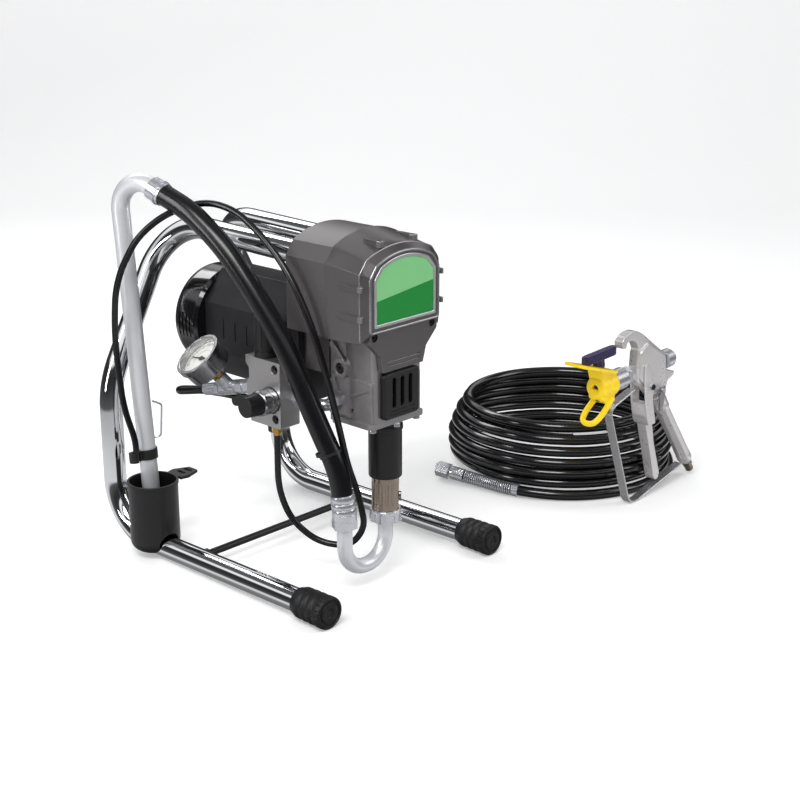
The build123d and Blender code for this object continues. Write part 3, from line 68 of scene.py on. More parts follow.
def set_inputs(tree, node, values):
    for key, value in values.items():
        if isinstance(value, bpy.types.NodeSocket):
            tree.links.new(value, node.inputs[key])
        else:
            node.inputs[key].default_value = value


def map_range(tree, socket, low, high, start=0.3, end=0.7):
    """Map start..end of the socket to low..high."""
    return make_node(tree, "ShaderNodeMapRange", {
        "From Min": start, "From Max": end, "To Min": low, "To Max": high,
        "Value": socket}).outputs["Result"]


def multiply(tree, first, second):
    return make_node(tree, "ShaderNodeMath", {0: first, 1: second},
                     operation="MULTIPLY").outputs[0]


def mix_colors(tree, factor, first, second):
    return make_node(tree, "ShaderNodeMix", {"Factor": factor, 6: first, 7: second},
                     data_type="RGBA").outputs[2]


def noise_texture(tree, coords, scale, detail, stretch=None):
    vector = coords
    if stretch:
        vector = make_node(tree, "ShaderNodeMapping",
                           {"Scale": stretch, "Vector": coords}).outputs["Vector"]
    return make_node(tree, "ShaderNodeTexNoise", {
        "Scale": scale, "Detail": detail, "Roughness": 0.55, "Vector": vector}).outputs["Fac"]


def bevel_normal(tree, radius):
    return make_node(tree, "ShaderNodeBevel", {"Radius": radius}, samples=4).outputs["Normal"]


def add_bump(tree, height, normal, strength, distance):
    bump = make_node(tree, "ShaderNodeBump",
                     {"Strength": strength, "Distance": distance, "Height": height})
    if normal:
        tree.links.new(normal, bump.inputs["Normal"])
    return bump.outputs["Normal"]


# ------------------------------------------------------------------ materials
# overall strength of each kind of unevenness in the table of finishes
MOTTLE_GAIN, SPREAD_GAIN, GRAIN_GAIN, PEEL_GAIN = 0.6, 0.35, 0.3, 0.25


def srgb(*channels):
    """Linear colour from 0-255 sRGB channels."""
    shares = [c / 255 for c in channels]
    return tuple(s / 12.92 if s <= 0.04045 else ((s + 0.055) / 1.055) ** 2.4 for s in shares)


def make_material(name, color, metal, rough, mottle=0.1, mottle_scale=35, spread=0.1,
                  rough_scale=120, grain=0.0, grain_scale=1500, soft=0.0004, worn=None,
                  wear=0.0, coat=0.0, coat_rough=0.08, brushed=None, specular=0.5, peel=0.0):
    """mottle: colour change; spread: roughness change; grain: fine bump; peel: coarse bump;
    soft: rounding of edges in m; worn, wear: colour and amount of edge wear;
    brushed: stretch of the roughness and grain noise."""
    mottle, spread = mottle * MOTTLE_GAIN, spread * SPREAD_GAIN
    mat = bpy.data.materials.new(name)
    mat.use_nodes = True
    tree = mat.node_tree
    coords = make_node(tree, "ShaderNodeTexCoord").outputs["Object"]

    patches = noise_texture(tree, coords, mottle_scale, 4.0)
    dark = tuple(c * (1 - mottle) for c in color) + (1.0,)
    light = tuple(min(1.0, c * (1 + mottle)) for c in color) + (1.0,)
    surface = mix_colors(tree, map_range(tree, patches, 0, 1), dark, light)
    fine = noise_texture(tree, coords, rough_scale, 5.0, brushed)
    roughness = map_range(tree, fine, max(0.02, rough - spread), min(1.0, rough + spread))
    normal = bevel_normal(tree, soft) if soft else None
    if worn:
        # the rounded normal leaves the true one only near an edge
        rounded = bevel_normal(tree, 0.0011)
        geometry = make_node(tree, "ShaderNodeNewGeometry")
        likeness = make_node(tree, "ShaderNodeVectorMath",
                             {0: rounded, 1: geometry.outputs["True Normal"]},
                             operation="DOT_PRODUCT").outputs["Value"]
        edge = map_range(tree, likeness, 1.0, 0.0, start=0.86, end=0.985)
        broken = map_range(tree, noise_texture(tree, coords, 260, 5.0), 0.0, 1.0,
                           start=0.42, end=0.6)
        amount = multiply(tree, multiply(tree, edge, broken), wear)
        surface = mix_colors(tree, amount, surface, worn + (1.0,))
    shader = tree.nodes["Principled BSDF"]
    set_inputs(tree, shader, {
        "Base Color": surface, "Roughness": roughness, "Metallic": metal, "IOR": 1.5,
        "Specular IOR Level": specular, "Coat Weight": coat, "Coat Roughness": coat_rough})
    if grain:
        height = noise_texture(tree, coords, grain_scale, 4.0, brushed)
        normal = add_bump(tree, height, normal, strength=grain * GRAIN_GAIN, distance=0.0002)
    if peel:
        height = noise_texture(tree, coords, 170, 2.0)
        normal = add_bump(tree, height, normal, strength=peel * PEEL_GAIN, distance=0.0006)
    if normal:
        tree.links.new(normal, shader.inputs["Normal"])
    return mat


def make_glass():
    """Clear cover: mostly transparent, with a faint uneven gloss."""
    mat = bpy.data.materials.new("mat_glass")
    mat.use_nodes = True
    tree = mat.node_tree
    tree.nodes.clear()
    output = make_node(tree, "ShaderNodeOutputMaterial")
    clear = make_node(tree, "ShaderNodeBsdfTransparent")
    fac = make_node(tree, "ShaderNodeTexNoise", {"Scale": 90}).outputs["Fac"]
    roughness = map_range(tree, fac, 0.02, 0.09, start=0.0, end=1.0)
    gloss = make_node(tree, "ShaderNodeBsdfGlossy", {"Roughness": roughness})
    share = map_range(tree, fac, 0.03, 0.05, start=0.0, end=1.0)
    mixed = make_node(tree, "ShaderNodeMixShader",
                      {0: share, 1: clear.outputs[0], 2: gloss.outputs[0]})
    tree.links.new(mixed.outputs[0], output.inputs[0])
    return mat


PAINT = dict(mottle_scale=300, rough_scale=900, grain_scale=2600, soft=0.0009)
LABEL = dict(mottle=0.02, spread=0.03, grain=0.02, grain_scale=900, soft=0.0003, coat=0.2)

# finish: linear colour, metallic, roughness, further settings of make_material
FINISHES = {
    "chrome": ((0.80, 0.81, 0.83), 1.0, 0.055, dict(
        mottle=0.03, spread=0.035, rough_scale=60, grain=0.02, grain_scale=300, soft=0)),
    "black_rod": ((0.015, 0.015, 0.016), 0.3, 0.35, dict(grain=0.15, grain_scale=900)),
    "rubber": ((0.008, 0.008, 0.009), 0.0, 0.5, dict(
        mottle=0.12, grain=0.12, grain_scale=1200, soft=0.0005, specular=0.4)),
    "hose": ((0.004, 0.004, 0.005), 0.0, 0.25, dict(
        mottle=0.12, mottle_scale=60, spread=0.05, rough_scale=200, grain=0.04,
        grain_scale=900, soft=0)),
    "coil_hose": ((0.004, 0.004, 0.005), 0.0, 0.17, dict(
        mottle=0.12, mottle_scale=70, spread=0.04, rough_scale=150, grain=0.03,
        grain_scale=700, soft=0, specular=0.6, coat=0.3, coat_rough=0.1)),
    "pewter": (srgb(122, 119, 120), 0.85, 0.31, dict(
        PAINT, mottle=0.04, spread=0.05, grain=0.10, peel=0.05,
        worn=srgb(215, 214, 216), wear=0.25)),
    "pewter_matt": (srgb(104, 101, 102), 0.7, 0.46, dict(
        PAINT, mottle=0.05, spread=0.06, grain=0.14)),
    # a spare finish, worn by no piece
    "pewter_dark": (srgb(80, 77, 80), 0.75, 0.38, dict(
        PAINT, mottle=0.04, spread=0.05, grain=0.10, peel=0.05,
        worn=srgb(190, 188, 190), wear=0.2)),
    "charcoal": (srgb(52, 51, 54), 0.55, 0.34, dict(
        mottle=0.05, spread=0.05, grain=0.08, grain_scale=2200, peel=0.04, soft=0.0009,
        worn=srgb(150, 150, 152), wear=0.2)),
    "cast_alloy": (srgb(160, 157, 158), 0.8, 0.36, dict(
        mottle=0.05, mottle_scale=120, spread=0.08, grain=0.22, grain_scale=1400, peel=0.10,
        soft=0.0009, worn=srgb(230, 228, 228), wear=0.15)),
    "bright_alloy": (srgb(186, 184, 184), 0.85, 0.30, dict(
        mottle=0.03, spread=0.06, grain=0.08, soft=0.0006)),
    "satin_alloy": (srgb(226, 227, 231), 0.5, 0.34, dict(
        mottle=0.04, mottle_scale=20, spread=0.09, rough_scale=260, grain=0.08,
        grain_scale=900, soft=0, specular=0.7)),
    "zinc": (srgb(212, 214, 220), 0.78, 0.24, dict(
        mottle=0.04, spread=0.06, rough_scale=300, grain=0.05, grain_scale=1400,
        soft=0.0005, specular=0.7)),
    "steel": (srgb(190, 190, 192), 1.0, 0.24, dict(
        mottle=0.05, spread=0.09, rough_scale=200, grain=0.1, grain_scale=700,
        brushed=(1, 1, 12))),
    "dark_steel": (srgb(70, 70, 74), 0.9, 0.33, dict(grain=0.15)),
    "iron": (srgb(80, 78, 78), 0.8, 0.5, dict(mottle=0.15, grain=0.4, grain_scale=900)),
    "bronze": (srgb(164, 150, 138), 0.92, 0.25, dict(
        mottle=0.04, spread=0.05, rough_scale=240, grain=0.05, grain_scale=900, soft=0.0005)),
    "brass": (srgb(208, 168, 86), 1.0, 0.22, dict(
        mottle=0.04, spread=0.05, rough_scale=240, grain=0.04, grain_scale=900)),
    "black_gloss": ((0.006, 0.006, 0.007), 0.0, 0.12, dict(
        spread=0.04, grain=0.02, grain_scale=500, soft=0.0008, coat=0.4, peel=0.02)),
    "black_plastic": ((0.008, 0.008, 0.009), 0.0, 0.36, dict(
        spread=0.05, grain=0.12, grain_scale=1800, soft=0.0006)),
    "green": (srgb(10, 128, 48), 0.0, 0.3, LABEL),
    "light_green": (srgb(120, 190, 125), 0.0, 0.3, LABEL),
    "silver_trim": (srgb(205, 208, 208), 0.7, 0.24, dict(
        mottle=0.04, spread=0.06, grain=0.05)),
    "yellow": (srgb(248, 214, 14), 0.0, 0.32, dict(
        mottle=0.03, spread=0.04, grain=0.04, grain_scale=1300, soft=0.0008, coat=0.15)),
    "violet": (srgb(36, 27, 76), 0.0, 0.28, dict(
        mottle=0.06, spread=0.05, grain=0.04, grain_scale=1300, soft=0.0006, coat=0.2)),
    "dial_white": (srgb(236, 236, 230), 0.0, 0.45, dict(
        mottle=0.03, spread=0.05, grain=0.05, soft=0)),
    "gun_alloy": (srgb(236, 233, 233), 0.68, 0.29, dict(
        mottle=0.05, spread=0.06, rough_scale=90, soft=0, specular=0.8)),
    "tie": ((0.012, 0.012, 0.012), 0.0, 0.36, dict(mottle=0.2, grain=0.1, soft=0.0003)),
    "ink": ((0.01, 0.01, 0.01), 0.0, 0.5, dict(soft=0)),
    "strap_steel": (srgb(215, 214, 216), 0.85, 0.24, dict(
        mottle=0.05, spread=0.08, soft=0)),
    "pewter_edge": (srgb(168, 166, 168), 0.85, 0.28, dict(
        PAINT, mottle=0.04, spread=0.05, grain=0.08)),
}
MATERIALS = {finish: make_material("mat_" + finish, color, metal, rough, **rest)
             for finish, (color, metal, rough, rest) in FINISHES.items()}
MATERIALS["glass"] = make_glass()

# ------------------------------------------------------------------ CAD pieces
# finish: the CAD pieces that wear it
FINISH_PIECES = {
    "chrome": "frame_tubes",
    "black_rod": "cross_rod",
    "rubber": "foot_caps",
    "pewter_matt": "gear_case",
    "pewter": "front_cover",
    "steel": "bearing_plate idler_gear crank_gear connecting_rod pump_cylinder packing_set "
             "inlet_ball piston_rod valve_cartridge filter_element gauge_case "
             "trigger_guard trigger_lock",
    "dark_steel": "socket_screws",
    "silver_trim": "label_border",
    "green": "label_lower",
    "light_green": "label_upper",
    "charcoal": "motor_case",
    "iron": "motor_magnets armature",
    "black_gloss": "motor_bell power_switch",
    "black_plastic": "cooling_fan power_inlet vent_guard pump_sleeve drip_cup valve_handle "
                     "filter_cap pressure_knob",
    "cast_alloy": "pump_housing",
    "bronze": "foot_valve gun_inlet",
    "zinc": "inlet_fittings wire_hook outlet_fittings coil_fittings hose_nut gun_fittings",
    "satin_alloy": "inlet_tube siphon_tube",
    "hose": "suction_hose drain_hose whip_hose",
    "tie": "hose_clips",
    "bright_alloy": "manifold",
    "brass": "brass_fittings",
    "dial_white": "gauge_dial",
    "glass": "gauge_glass",
    "ink": "gauge_needle",
    "coil_hose": "hose_coil",
    "gun_alloy": "gun_body gun_trigger",
    "yellow": "tip_guard",
    "violet": "spray_tip",
}
# bevel width in mm: the CAD pieces that get it
BEVEL_PIECES = {
    2.0: "motor_case",
    1.6: "gear_case pump_housing",
    1.2: "front_cover",
    1.0: "manifold valve_handle",
    0.9: "vent_guard drip_cup foot_caps",
    0.8: "motor_bell gauge_case connecting_rod gun_fittings",
    0.7: "inlet_fittings valve_cartridge label_border",
    0.6: "pump_sleeve filter_cap pressure_knob hose_nut power_switch",
    0.5: "outlet_fittings gun_inlet piston_rod trigger_lock",
    0.4: "foot_valve brass_fittings hose_clips cross_rod bearing_plate",
    0.3: "socket_screws crank_gear idler_gear",
    0.2: "label_lower label_upper",
}


def by_piece(groups):
    return {piece: key for key, pieces in groups.items() for piece in pieces.split()}


def bevel_edges(ob, width, segments, angle=30):
    """Round the edges sharper than angle (degrees) by width (mm)."""
    bevel = ob.modifiers.new("edge", "BEVEL")
    bevel.width = width / MM
    bevel.segments = segments
    bevel.limit_method = "ANGLE"
    bevel.angle_limit = math.radians(angle)
    bevel.use_clamp_overlap = True
    bevel.harden_normals = False
    normals = ob.modifiers.new("normals", "WEIGHTED_NORMAL")
    normals.keep_sharp = True
    return normals


def soften(ob, width):
    """Clean up the CAD triangles and round the edges."""
    weld = ob.modifiers.new("weld", "WELD")
    weld.merge_threshold = 2e-6
    planar = ob.modifiers.new("planar", "DECIMATE")
    planar.decimate_type = "DISSOLVE"
    planar.angle_limit = math.radians(0.6)
    bevel_edges(ob, width, segments=2, angle=28).weight = 60


def dress_cad_pieces():
    finishes, bevels = by_piece(FINISH_PIECES), by_piece(BEVEL_PIECES)
    for name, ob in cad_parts.items():
        mat = MATERIALS[finishes[name]]
        if not ob.material_slots:
            ob.data.materials.append(mat)
        for slot in ob.material_slots:
            slot.material = mat
        if name in bevels:
            soften(ob, bevels[name])


# ------------------------------------------------------------------ adding objects
def link_object(name, data):
    ob = bpy.data.objects.new(name, data)
    bpy.context.scene.collection.objects.link(ob)
    return ob


def to_mesh(name, bm):
    mesh = bpy.data.meshes.new(name)
    bm.to_mesh(mesh)
    bm.free()
    return mesh


def register(ob, body, replaces):
    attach(ob, body)
    if replaces:
        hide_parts(replaces)


def add(name, bm, finish, body="machine", smooth=40, replaces=None):
    """Turn bm into an object, sharp where faces meet at more than smooth degrees."""
    bmesh.ops.recalc_face_normals(bm, faces=bm.faces)
    mesh = to_mesh(name, bm)
    mesh.shade_smooth()
    mesh.set_sharp_from_angle(angle=math.radians(smooth))
    ob = link_object(name, mesh)
    mesh.materials.append(MATERIALS[finish])
    register(ob, body, replaces)
    return ob


def add_fused(name, bm, finish, body, voxel, relax, replaces):
    """Fuse the closed shapes in bm into one cast-looking piece by remeshing."""
    bmesh.ops.recalc_face_normals(bm, faces=bm.faces)
    ob = link_object(name, to_mesh(name, bm))
    remesh = ob.modifiers.new("remesh", "REMESH")
    remesh.mode = "VOXEL"
    remesh.voxel_size = voxel / MM
    smoothing = ob.modifiers.new("relax", "SMOOTH")
    smoothing.factor = 0.5
    smoothing.iterations = relax
    graph = bpy.context.evaluated_depsgraph_get()
    fused = bpy.data.meshes.new_from_object(ob.evaluated_get(graph))
    ob.modifiers.clear()
    ob.data = fused
    fused.shade_smooth()
    fused.materials.clear()
    fused.materials.append(MATERIALS[finish])
    register(ob, body, replaces)


# ------------------------------------------------------------------ curves
def bent(points, radii, step):
    """Straight runs joined by tangent arcs, one radius for each inner point."""
    points = [Vector(p) for p in points]
    path = [points[0]]
    for i in range(1, len(points) - 1):
        corner = points[i]
        before = (points[i - 1] - corner).normalized()
        after = (points[i + 1] - corner).normalized()
        half = before.angle(after) / 2
        radius = radii[i - 1]
        setback = radius / math.tan(half)
        start, end = corner + before * setback, corner + after * setback
        centre = corner + (before + after).normalized() * (radius / math.sin(half))
        arm = start - centre
        axis = arm.cross(end - centre).normalized()
        angle = arm.angle(end - centre)
        count = max(4, int(radius * angle / step))
        for k in range(count + 1):
            path.append(centre + Matrix.Rotation(angle * k / count, 3, axis) @ arm)
    path.append(points[-1])
    spaced = [path[0]]
    for p in path[1:]:
        if (p - spaced[-1]).length > 0.05:
            spaced.append(p)
    return spaced


def wide_bent(points, share=0.47, step=2.0):
    """Bent path whose arcs each take up share of the shorter run beside them."""
    corners = [Vector(p) for p in points]
    radii = []
    for i in range(1, len(corners) - 1):
        before, after = corners[i - 1] - corners[i], corners[i + 1] - corners[i]
        radii.append(share * min(before.length, after.length)
                     * math.tan(before.angle(after) / 2))
    return bent(points, radii, step)


def flow(points, step):
    """Smooth centripetal curve through points."""
    points = [Vector(p) for p in points]
    points = [points[0] * 2 - points[1]] + points + [points[-1] * 2 - points[-2]]
    path = []
    for i in range(1, len(points) - 2):
        p0, p1, p2, p3 = points[i - 1:i + 3]
        t0 = 0.0
        t1 = t0 + (p1 - p0).length ** 0.5
        t2 = t1 + (p2 - p1).length ** 0.5
        t3 = t2 + (p3 - p2).length ** 0.5
        count = max(2, int((p2 - p1).length / step))
        for k in range(count):
            t = t1 + (t2 - t1) * k / count
            a1 = p0 * ((t1 - t) / (t1 - t0)) + p1 * ((t - t0) / (t1 - t0))
            a2 = p1 * ((t2 - t) / (t2 - t1)) + p2 * ((t - t1) / (t2 - t1))
            a3 = p2 * ((t3 - t) / (t3 - t2)) + p3 * ((t - t2) / (t3 - t2))
            b1 = a1 * ((t2 - t) / (t2 - t0)) + a2 * ((t - t0) / (t2 - t0))
            b2 = a2 * ((t3 - t) / (t3 - t1)) + a3 * ((t - t1) / (t3 - t1))
            path.append(b1 * ((t2 - t) / (t2 - t1)) + b2 * ((t - t1) / (t2 - t1)))
    path.append(points[-2])
    return path


def path_frames(path, up=None):
    """Tangent, normal and binormal at each point, without twist."""
    tangents = []
    for i in range(len(path)):
        before, after = path[max(0, i - 1)], path[min(len(path) - 1, i + 1)]
        tangents.append((after - before).normalized())
    up = up or Z_AXIS
    if abs(tangents[0].dot(up)) > 0.95:
        up = X_AXIS
    normal = (up - tangents[0] * up.dot(tangents[0])).normalized()
    result = []
    for tangent in tangents:
        normal = (normal - tangent * normal.dot(tangent)).normalized()
        result.append((tangent, normal, tangent.cross(normal)))
    return result


def round_poly(points, radius, count=4):
    """Closed 2-D outline with its corners rounded."""
    outline = []
    for i in range(len(points)):
        corner = Vector(points[i])
        before = Vector(points[i - 1]) - corner
        after = Vector(points[(i + 1) % len(points)]) - corner
        cut = min(radius, 0.45 * before.length, 0.45 * after.length)
        start = corner + before.normalized() * cut
        end = corner + after.normalized() * cut
        for k in range(count + 1):
            t = k / count
            outline.append(tuple(start * (1 - t) ** 2 + corner * (2 * t * (1 - t))
                                 + end * t ** 2))
    return outline


# ------------------------------------------------------------------ solids
def new_vert(bm, point):
    return bm.verts.new(point / MM)


def circle_verts(bm, centre, x, y, radius, sides):
    angles = [2 * math.pi * k / sides for k in range(sides)]
    return [new_vert(bm, centre + (x * math.cos(a) + y * math.sin(a)) * radius)
            for a in angles]


def bridge(bm, first, second):
    count = len(first)
    for k in range(count):
        n = (k + 1) % count
        bm.faces.new((first[k], first[n], second[n], second[k]))


def sweep(bm, path, radius=None, sides=32, bore=None, section=None, up=None):
    """Sweep a circle, or a section in the normal plane, along path. The radius may be a
    function of the length so far; a bore makes a pipe, otherwise the ends are capped."""
    around = path_frames(path, up)

    def ring(i, size):
        _, normal, side = around[i]
        if section:
            return [new_vert(bm, SHIFT + path[i] + normal * x + side * y)
                    for x, y in section]
        return circle_verts(bm, SHIFT + path[i], normal, side, size, sides)

    rings, length = [], 0.0
    for i in range(len(path)):
        if i:
            length += (path[i] - path[i - 1]).length
        rings.append(ring(i, radius(length) if callable(radius) else radius))
    for first, second in zip(rings, rings[1:]):
        bridge(bm, first, second)
    if bore:
        inner = [ring(i, bore) for i in range(len(path))]
        for first, second in zip(inner, inner[1:]):
            for k in range(sides):
                n = (k + 1) % sides
                bm.faces.new((first[k], second[k], second[n], first[n]))
        for i in (0, -1):
            bridge(bm, rings[i], inner[i])
    else:
        for i in (0, -1):
            bm.faces.new(rings[i])


def lathe(bm, profile, origin, axis, sides=64, closed=True):
    """Revolve (radius, distance along the axis) pairs; closed joins the last to the first."""
    centre, axis = Vector(origin) + SHIFT, Vector(axis).normalized()
    up = Z_AXIS if abs(axis.z) < 0.9 else X_AXIS
    x = (up - axis * up.dot(axis)).normalized()
    y = axis.cross(x)
    rings = []
    for radius, along in profile:
        if radius < 1e-6:
            rings.append([new_vert(bm, centre + axis * along)])
        else:
            rings.append(circle_verts(bm, centre + axis * along, x, y, radius, sides))
    pairs = list(zip(rings, rings[1:]))
    if closed and len(rings[0]) > 1 and len(rings[-1]) > 1:
        pairs.append((rings[-1], rings[0]))
    for first, second in pairs:
        if len(first) > 1 and len(second) > 1:
            bridge(bm, first, second)
        elif len(second) > 1:
            for k in range(sides):
                bm.faces.new((first[0], second[(k + 1) % sides], second[k]))
        elif len(first) > 1:
            for k in range(sides):
                bm.faces.new((first[k], first[(k + 1) % sides], second[0]))


def slab(bm, outline, origin, xdir, ydir, depth, back=0.0):
    """Extrude a 2-D outline from -back to depth along xdir x ydir."""
    start, x, y = Vector(origin) + SHIFT, Vector(xdir).normalized(), Vector(ydir).normalized()
    z = x.cross(y)
    low = [new_vert(bm, start + x * u + y * v - z * back) for u, v in outline]
    high = [new_vert(bm, start + x * u + y * v + z * depth) for u, v in outline]
    bm.faces.new(low[::-1])
    bm.faces.new(high)
    bridge(bm, low, high)


def add_tube(name, path, radius, finish, sides=48, bore=None, body="machine",
             replaces=None):
    bm = bmesh.new()
    sweep(bm, path, radius, sides, bore=bore)
    add(name, bm, finish, body, 50, replaces)


# ------------------------------------------------------------------ chrome frame
TUBE_R, TUBE_WALL = 15.9, 1.6
LEG_X = 158.5
LEG_FRONT_Y, LEG_BACK_Y = -206.0, 223.0
LEG_FRONT_Z = 22.0                     # the front ends are lifted by the rubber feet


def build_frame():
    """Each side: floor leg, upright, inward slope and top run towards the front."""
    top_x, shoulder_z, top_front_y = 43.5, 228.0, -95.0
    bm = bmesh.new()
    for side in (-1, 1):
        corners = [(side * LEG_X, LEG_FRONT_Y, LEG_FRONT_Z), (side * LEG_X, LEG_BACK_Y, TUBE_R),
                   (side * LEG_X, LEG_BACK_Y, shoulder_z), (side * top_x, LEG_BACK_Y, 447.0),
                   (side * top_x, top_front_y, 438.0)]
        path = bent(corners, radii=[74.0, 145.0, 78.0], step=2.5)
        sweep(bm, path, TUBE_R, 64, bore=TUBE_R - TUBE_WALL)
    add("frame_tube_pair", bm, "chrome", smooth=50, replaces="frame_tubes")


# ------------------------------------------------------------------ hoses and tubes
PUMP_Y = -158.0
INLET_X, INLET_Y = -73.5, PUMP_Y + 3   # the free arm of the U-shaped inlet pipe

# x, y, z of the corners of the suction hose, from the inlet pipe up and back
SUCTION = wide_bent([
    (INLET_X, INLET_Y, 118.2), (-75, -147, 172), (-88, -115, 245), (-98, -84, 320),
    (-111, -40, 391), (-122, 10, 452), (-132, 64, 492), (-139.6, 104, 508)])

# x, y, z of the corners of the drain hose
DRAIN_CORNERS = [
    (-80, -36, 196.8), (-79.5, -35, 120), (-64, -42, 72), (-44, -74, 42), (-20, -112, 40),
    (-10, -130, 70), (-26, -134, 122), (-48, -136, 170), (-66, -138, 232), (-80, -130, 305),
    (-87, -114, 362), (-91, -84, 418), (-93, -40, 462), (-97, 14, 494), (-108, 58, 502),
    (-142, 98, 486), (-172, 124, 455), (-184, 160, 392), (-184, 170, 310),
    (-180, 164, 215), (-174.2, 149, 168), (-174.2, 149, 138)]

# outlet: direction of the fittings, then the tee that carries the gauge
OUTLET_DIR = Vector((0, 0.966, -0.259)).normalized()
TEE = Vector((-78, 8.4, 255.9)) + OUTLET_DIR * 52
GAUGE_DIR = Vector((-0.62, 0.2, 0.75))
GAUGE_DIR = (GAUGE_DIR - OUTLET_DIR * GAUGE_DIR.dot(OUTLET_DIR)).normalized()
GAUGE_CENTRE = TEE + GAUGE_DIR * 41


def build_suction_hose():
    add_tube("suction_hose_skin", SUCTION,
             # slightly narrower at the lower end
             lambda length: 14.3 - 0.25 * math.exp(-(length / 9) ** 2),
             "hose", replaces="suction_hose")


def build_siphon_pipe():
    start = SUCTION[-1]
    along = (SUCTION[-1] - SUCTION[-2]).normalized()
    corners = [tuple(start + along * 0.6), tuple(start + along * 88), (-150.5, 151, 92)]
    add_tube("siphon_pipe", bent(corners, radii=[38], step=1.5), 12.3, "satin_alloy",
             bore=10.7, replaces="siphon_tube")


def build_inlet_pipe():
    low_z = 32
    corners = [(0, PUMP_Y, 103), (0, PUMP_Y, low_z), (INLET_X, INLET_Y, low_z),
               (INLET_X, INLET_Y, 108)]
    add_tube("inlet_pipe", bent(corners, radii=[36.2, 36.2], step=1.5), 10.3, "satin_alloy",
             bore=8.3, replaces="inlet_tube")


def build_drain_hose():
    add_tube("drain_hose_skin", wide_bent(DRAIN_CORNERS), 4.4, "hose",
             sides=24, replaces="drain_hose")


def build_outlet_hose():
    start = TEE + OUTLET_DIR * 30.2 + OUTLET_DIR * 3
    corners = [tuple(start), tuple(start + OUTLET_DIR * 44), (-76, 176, 212), (-54, 190, 206),
               (-38, 168, 206), (-38, 100, 214), (-38, 24, 214)]
    add_tube("outlet_hose_skin", wide_bent(corners), 6.0, "hose",
             sides=32, replaces="whip_hose")


# ------------------------------------------------------------------ coiled hose
COIL_CENTRE = Vector((530.0, -45.0, 0))
COIL_RADII = [178.0, 170.0, 174.0, 173.0, 168.0, 160.0, 149.0]   # layer by layer, upwards
TOP_LAYER = len(COIL_RADII) - 1
COIL_PITCH = 16.6
COIL_TURNS = 7.10
STEPS_PER_TURN = 150
COIL_HOSE_R = 8.0
COIL_BASE_Z = 8.1                      # hose centre in the lowest layer
COIL_END = Vector((342.0, -4.0, 13.2))


def coil_start():
    """Angle where a tangent from the hose end meets the lowest turn, and its direction."""
    arm = COIL_END - COIL_CENTRE
    angle = math.atan2(arm.y, arm.x) + math.acos(COIL_RADII[0] / Vector((arm.x, arm.y)).length)
    touch = Vector((COIL_CENTRE.x + COIL_RADII[0] * math.cos(angle),
                    COIL_CENTRE.y + COIL_RADII[0] * math.sin(angle), COIL_BASE_Z))
    return angle, (COIL_END - touch).normalized()


def smoothstep(share):
    return share * share * (3 - 2 * share)


def coil_radius(height):
    """Radius at a height counted in layers."""
    height = max(0.0, min(float(TOP_LAYER), height))
    layer = int(height)
    low, high = COIL_RADII[layer], COIL_RADII[min(TOP_LAYER, layer + 1)]
    return low + (high - low) * smoothstep(height - layer)


def coil_path(start_angle):
    """Straight tail, then turns that lie flat and each climb over a short part of the circle."""
    steps = int(COIL_TURNS * STEPS_PER_TURN)
    path = []
    for k in range(steps + 1):
        turns = COIL_TURNS * k / steps
        layer = int(turns)
        rise = smoothstep(max(0.0, min(1.0, (turns - layer - 0.62) / 0.30)))
        height = min(float(TOP_LAYER), layer + rise)
        # the last stretch tucks inwards and down
        tuck = smoothstep(max(0.0, (turns - 6.78) / 0.32))
        # the first 90 mm run slightly wide and high
        first = max(0.0, 1 - 2 * math.pi * COIL_RADII[0] * turns / 90)
        angle = start_angle + 2 * math.pi * turns
        cos, sin = math.cos(angle), math.sin(angle)
        radius = coil_radius(height) - 18 * tuck + 4 * first
        wobble = 1.3 * noise.noise(Vector((cos * 1.3, sin * 1.3, turns * 1.7)))
        lift = 0.5 * noise.noise(Vector((cos * 2, sin * 2, 9 + turns))) if height > 0.2 else 0
        z = COIL_BASE_Z + COIL_PITCH * height - 24 * tuck + 3.0 * first + lift
        path.append(Vector((COIL_CENTRE.x + (radius + wobble) * cos,
                            COIL_CENTRE.y + (radius + wobble) * sin, z)))
    tail_steps = 16
    tail = [COIL_END + (path[0] - COIL_END) * (k / tail_steps) for k in range(tail_steps)]
    return tail + path


# (radius, distance along the hose end)
FERRULE = [
    (5.6, 38), (2.6, 38), (2.6, 20), (8.3, 20), (8.3, 0.3), (10.2, 0.3), (10.6, 0.8),
    (10.6, 4), (10.1, 4.6), (10.6, 5.2), (10.6, 9), (10.1, 9.6), (10.6, 10.2),
    (10.6, 23.3), (10.0, 24), (5.6, 24)]
FERRULE_RING = [(7.0, 32.2), (7.4, 32.6), (7.4, 34.6), (7.0, 35), (5.62, 35), (5.62, 32.2)]
SPRING_COLLAR = [(8.1, -1.5), (10.1, -1.2), (10.1, 7.0), (8.1, 7.4)]


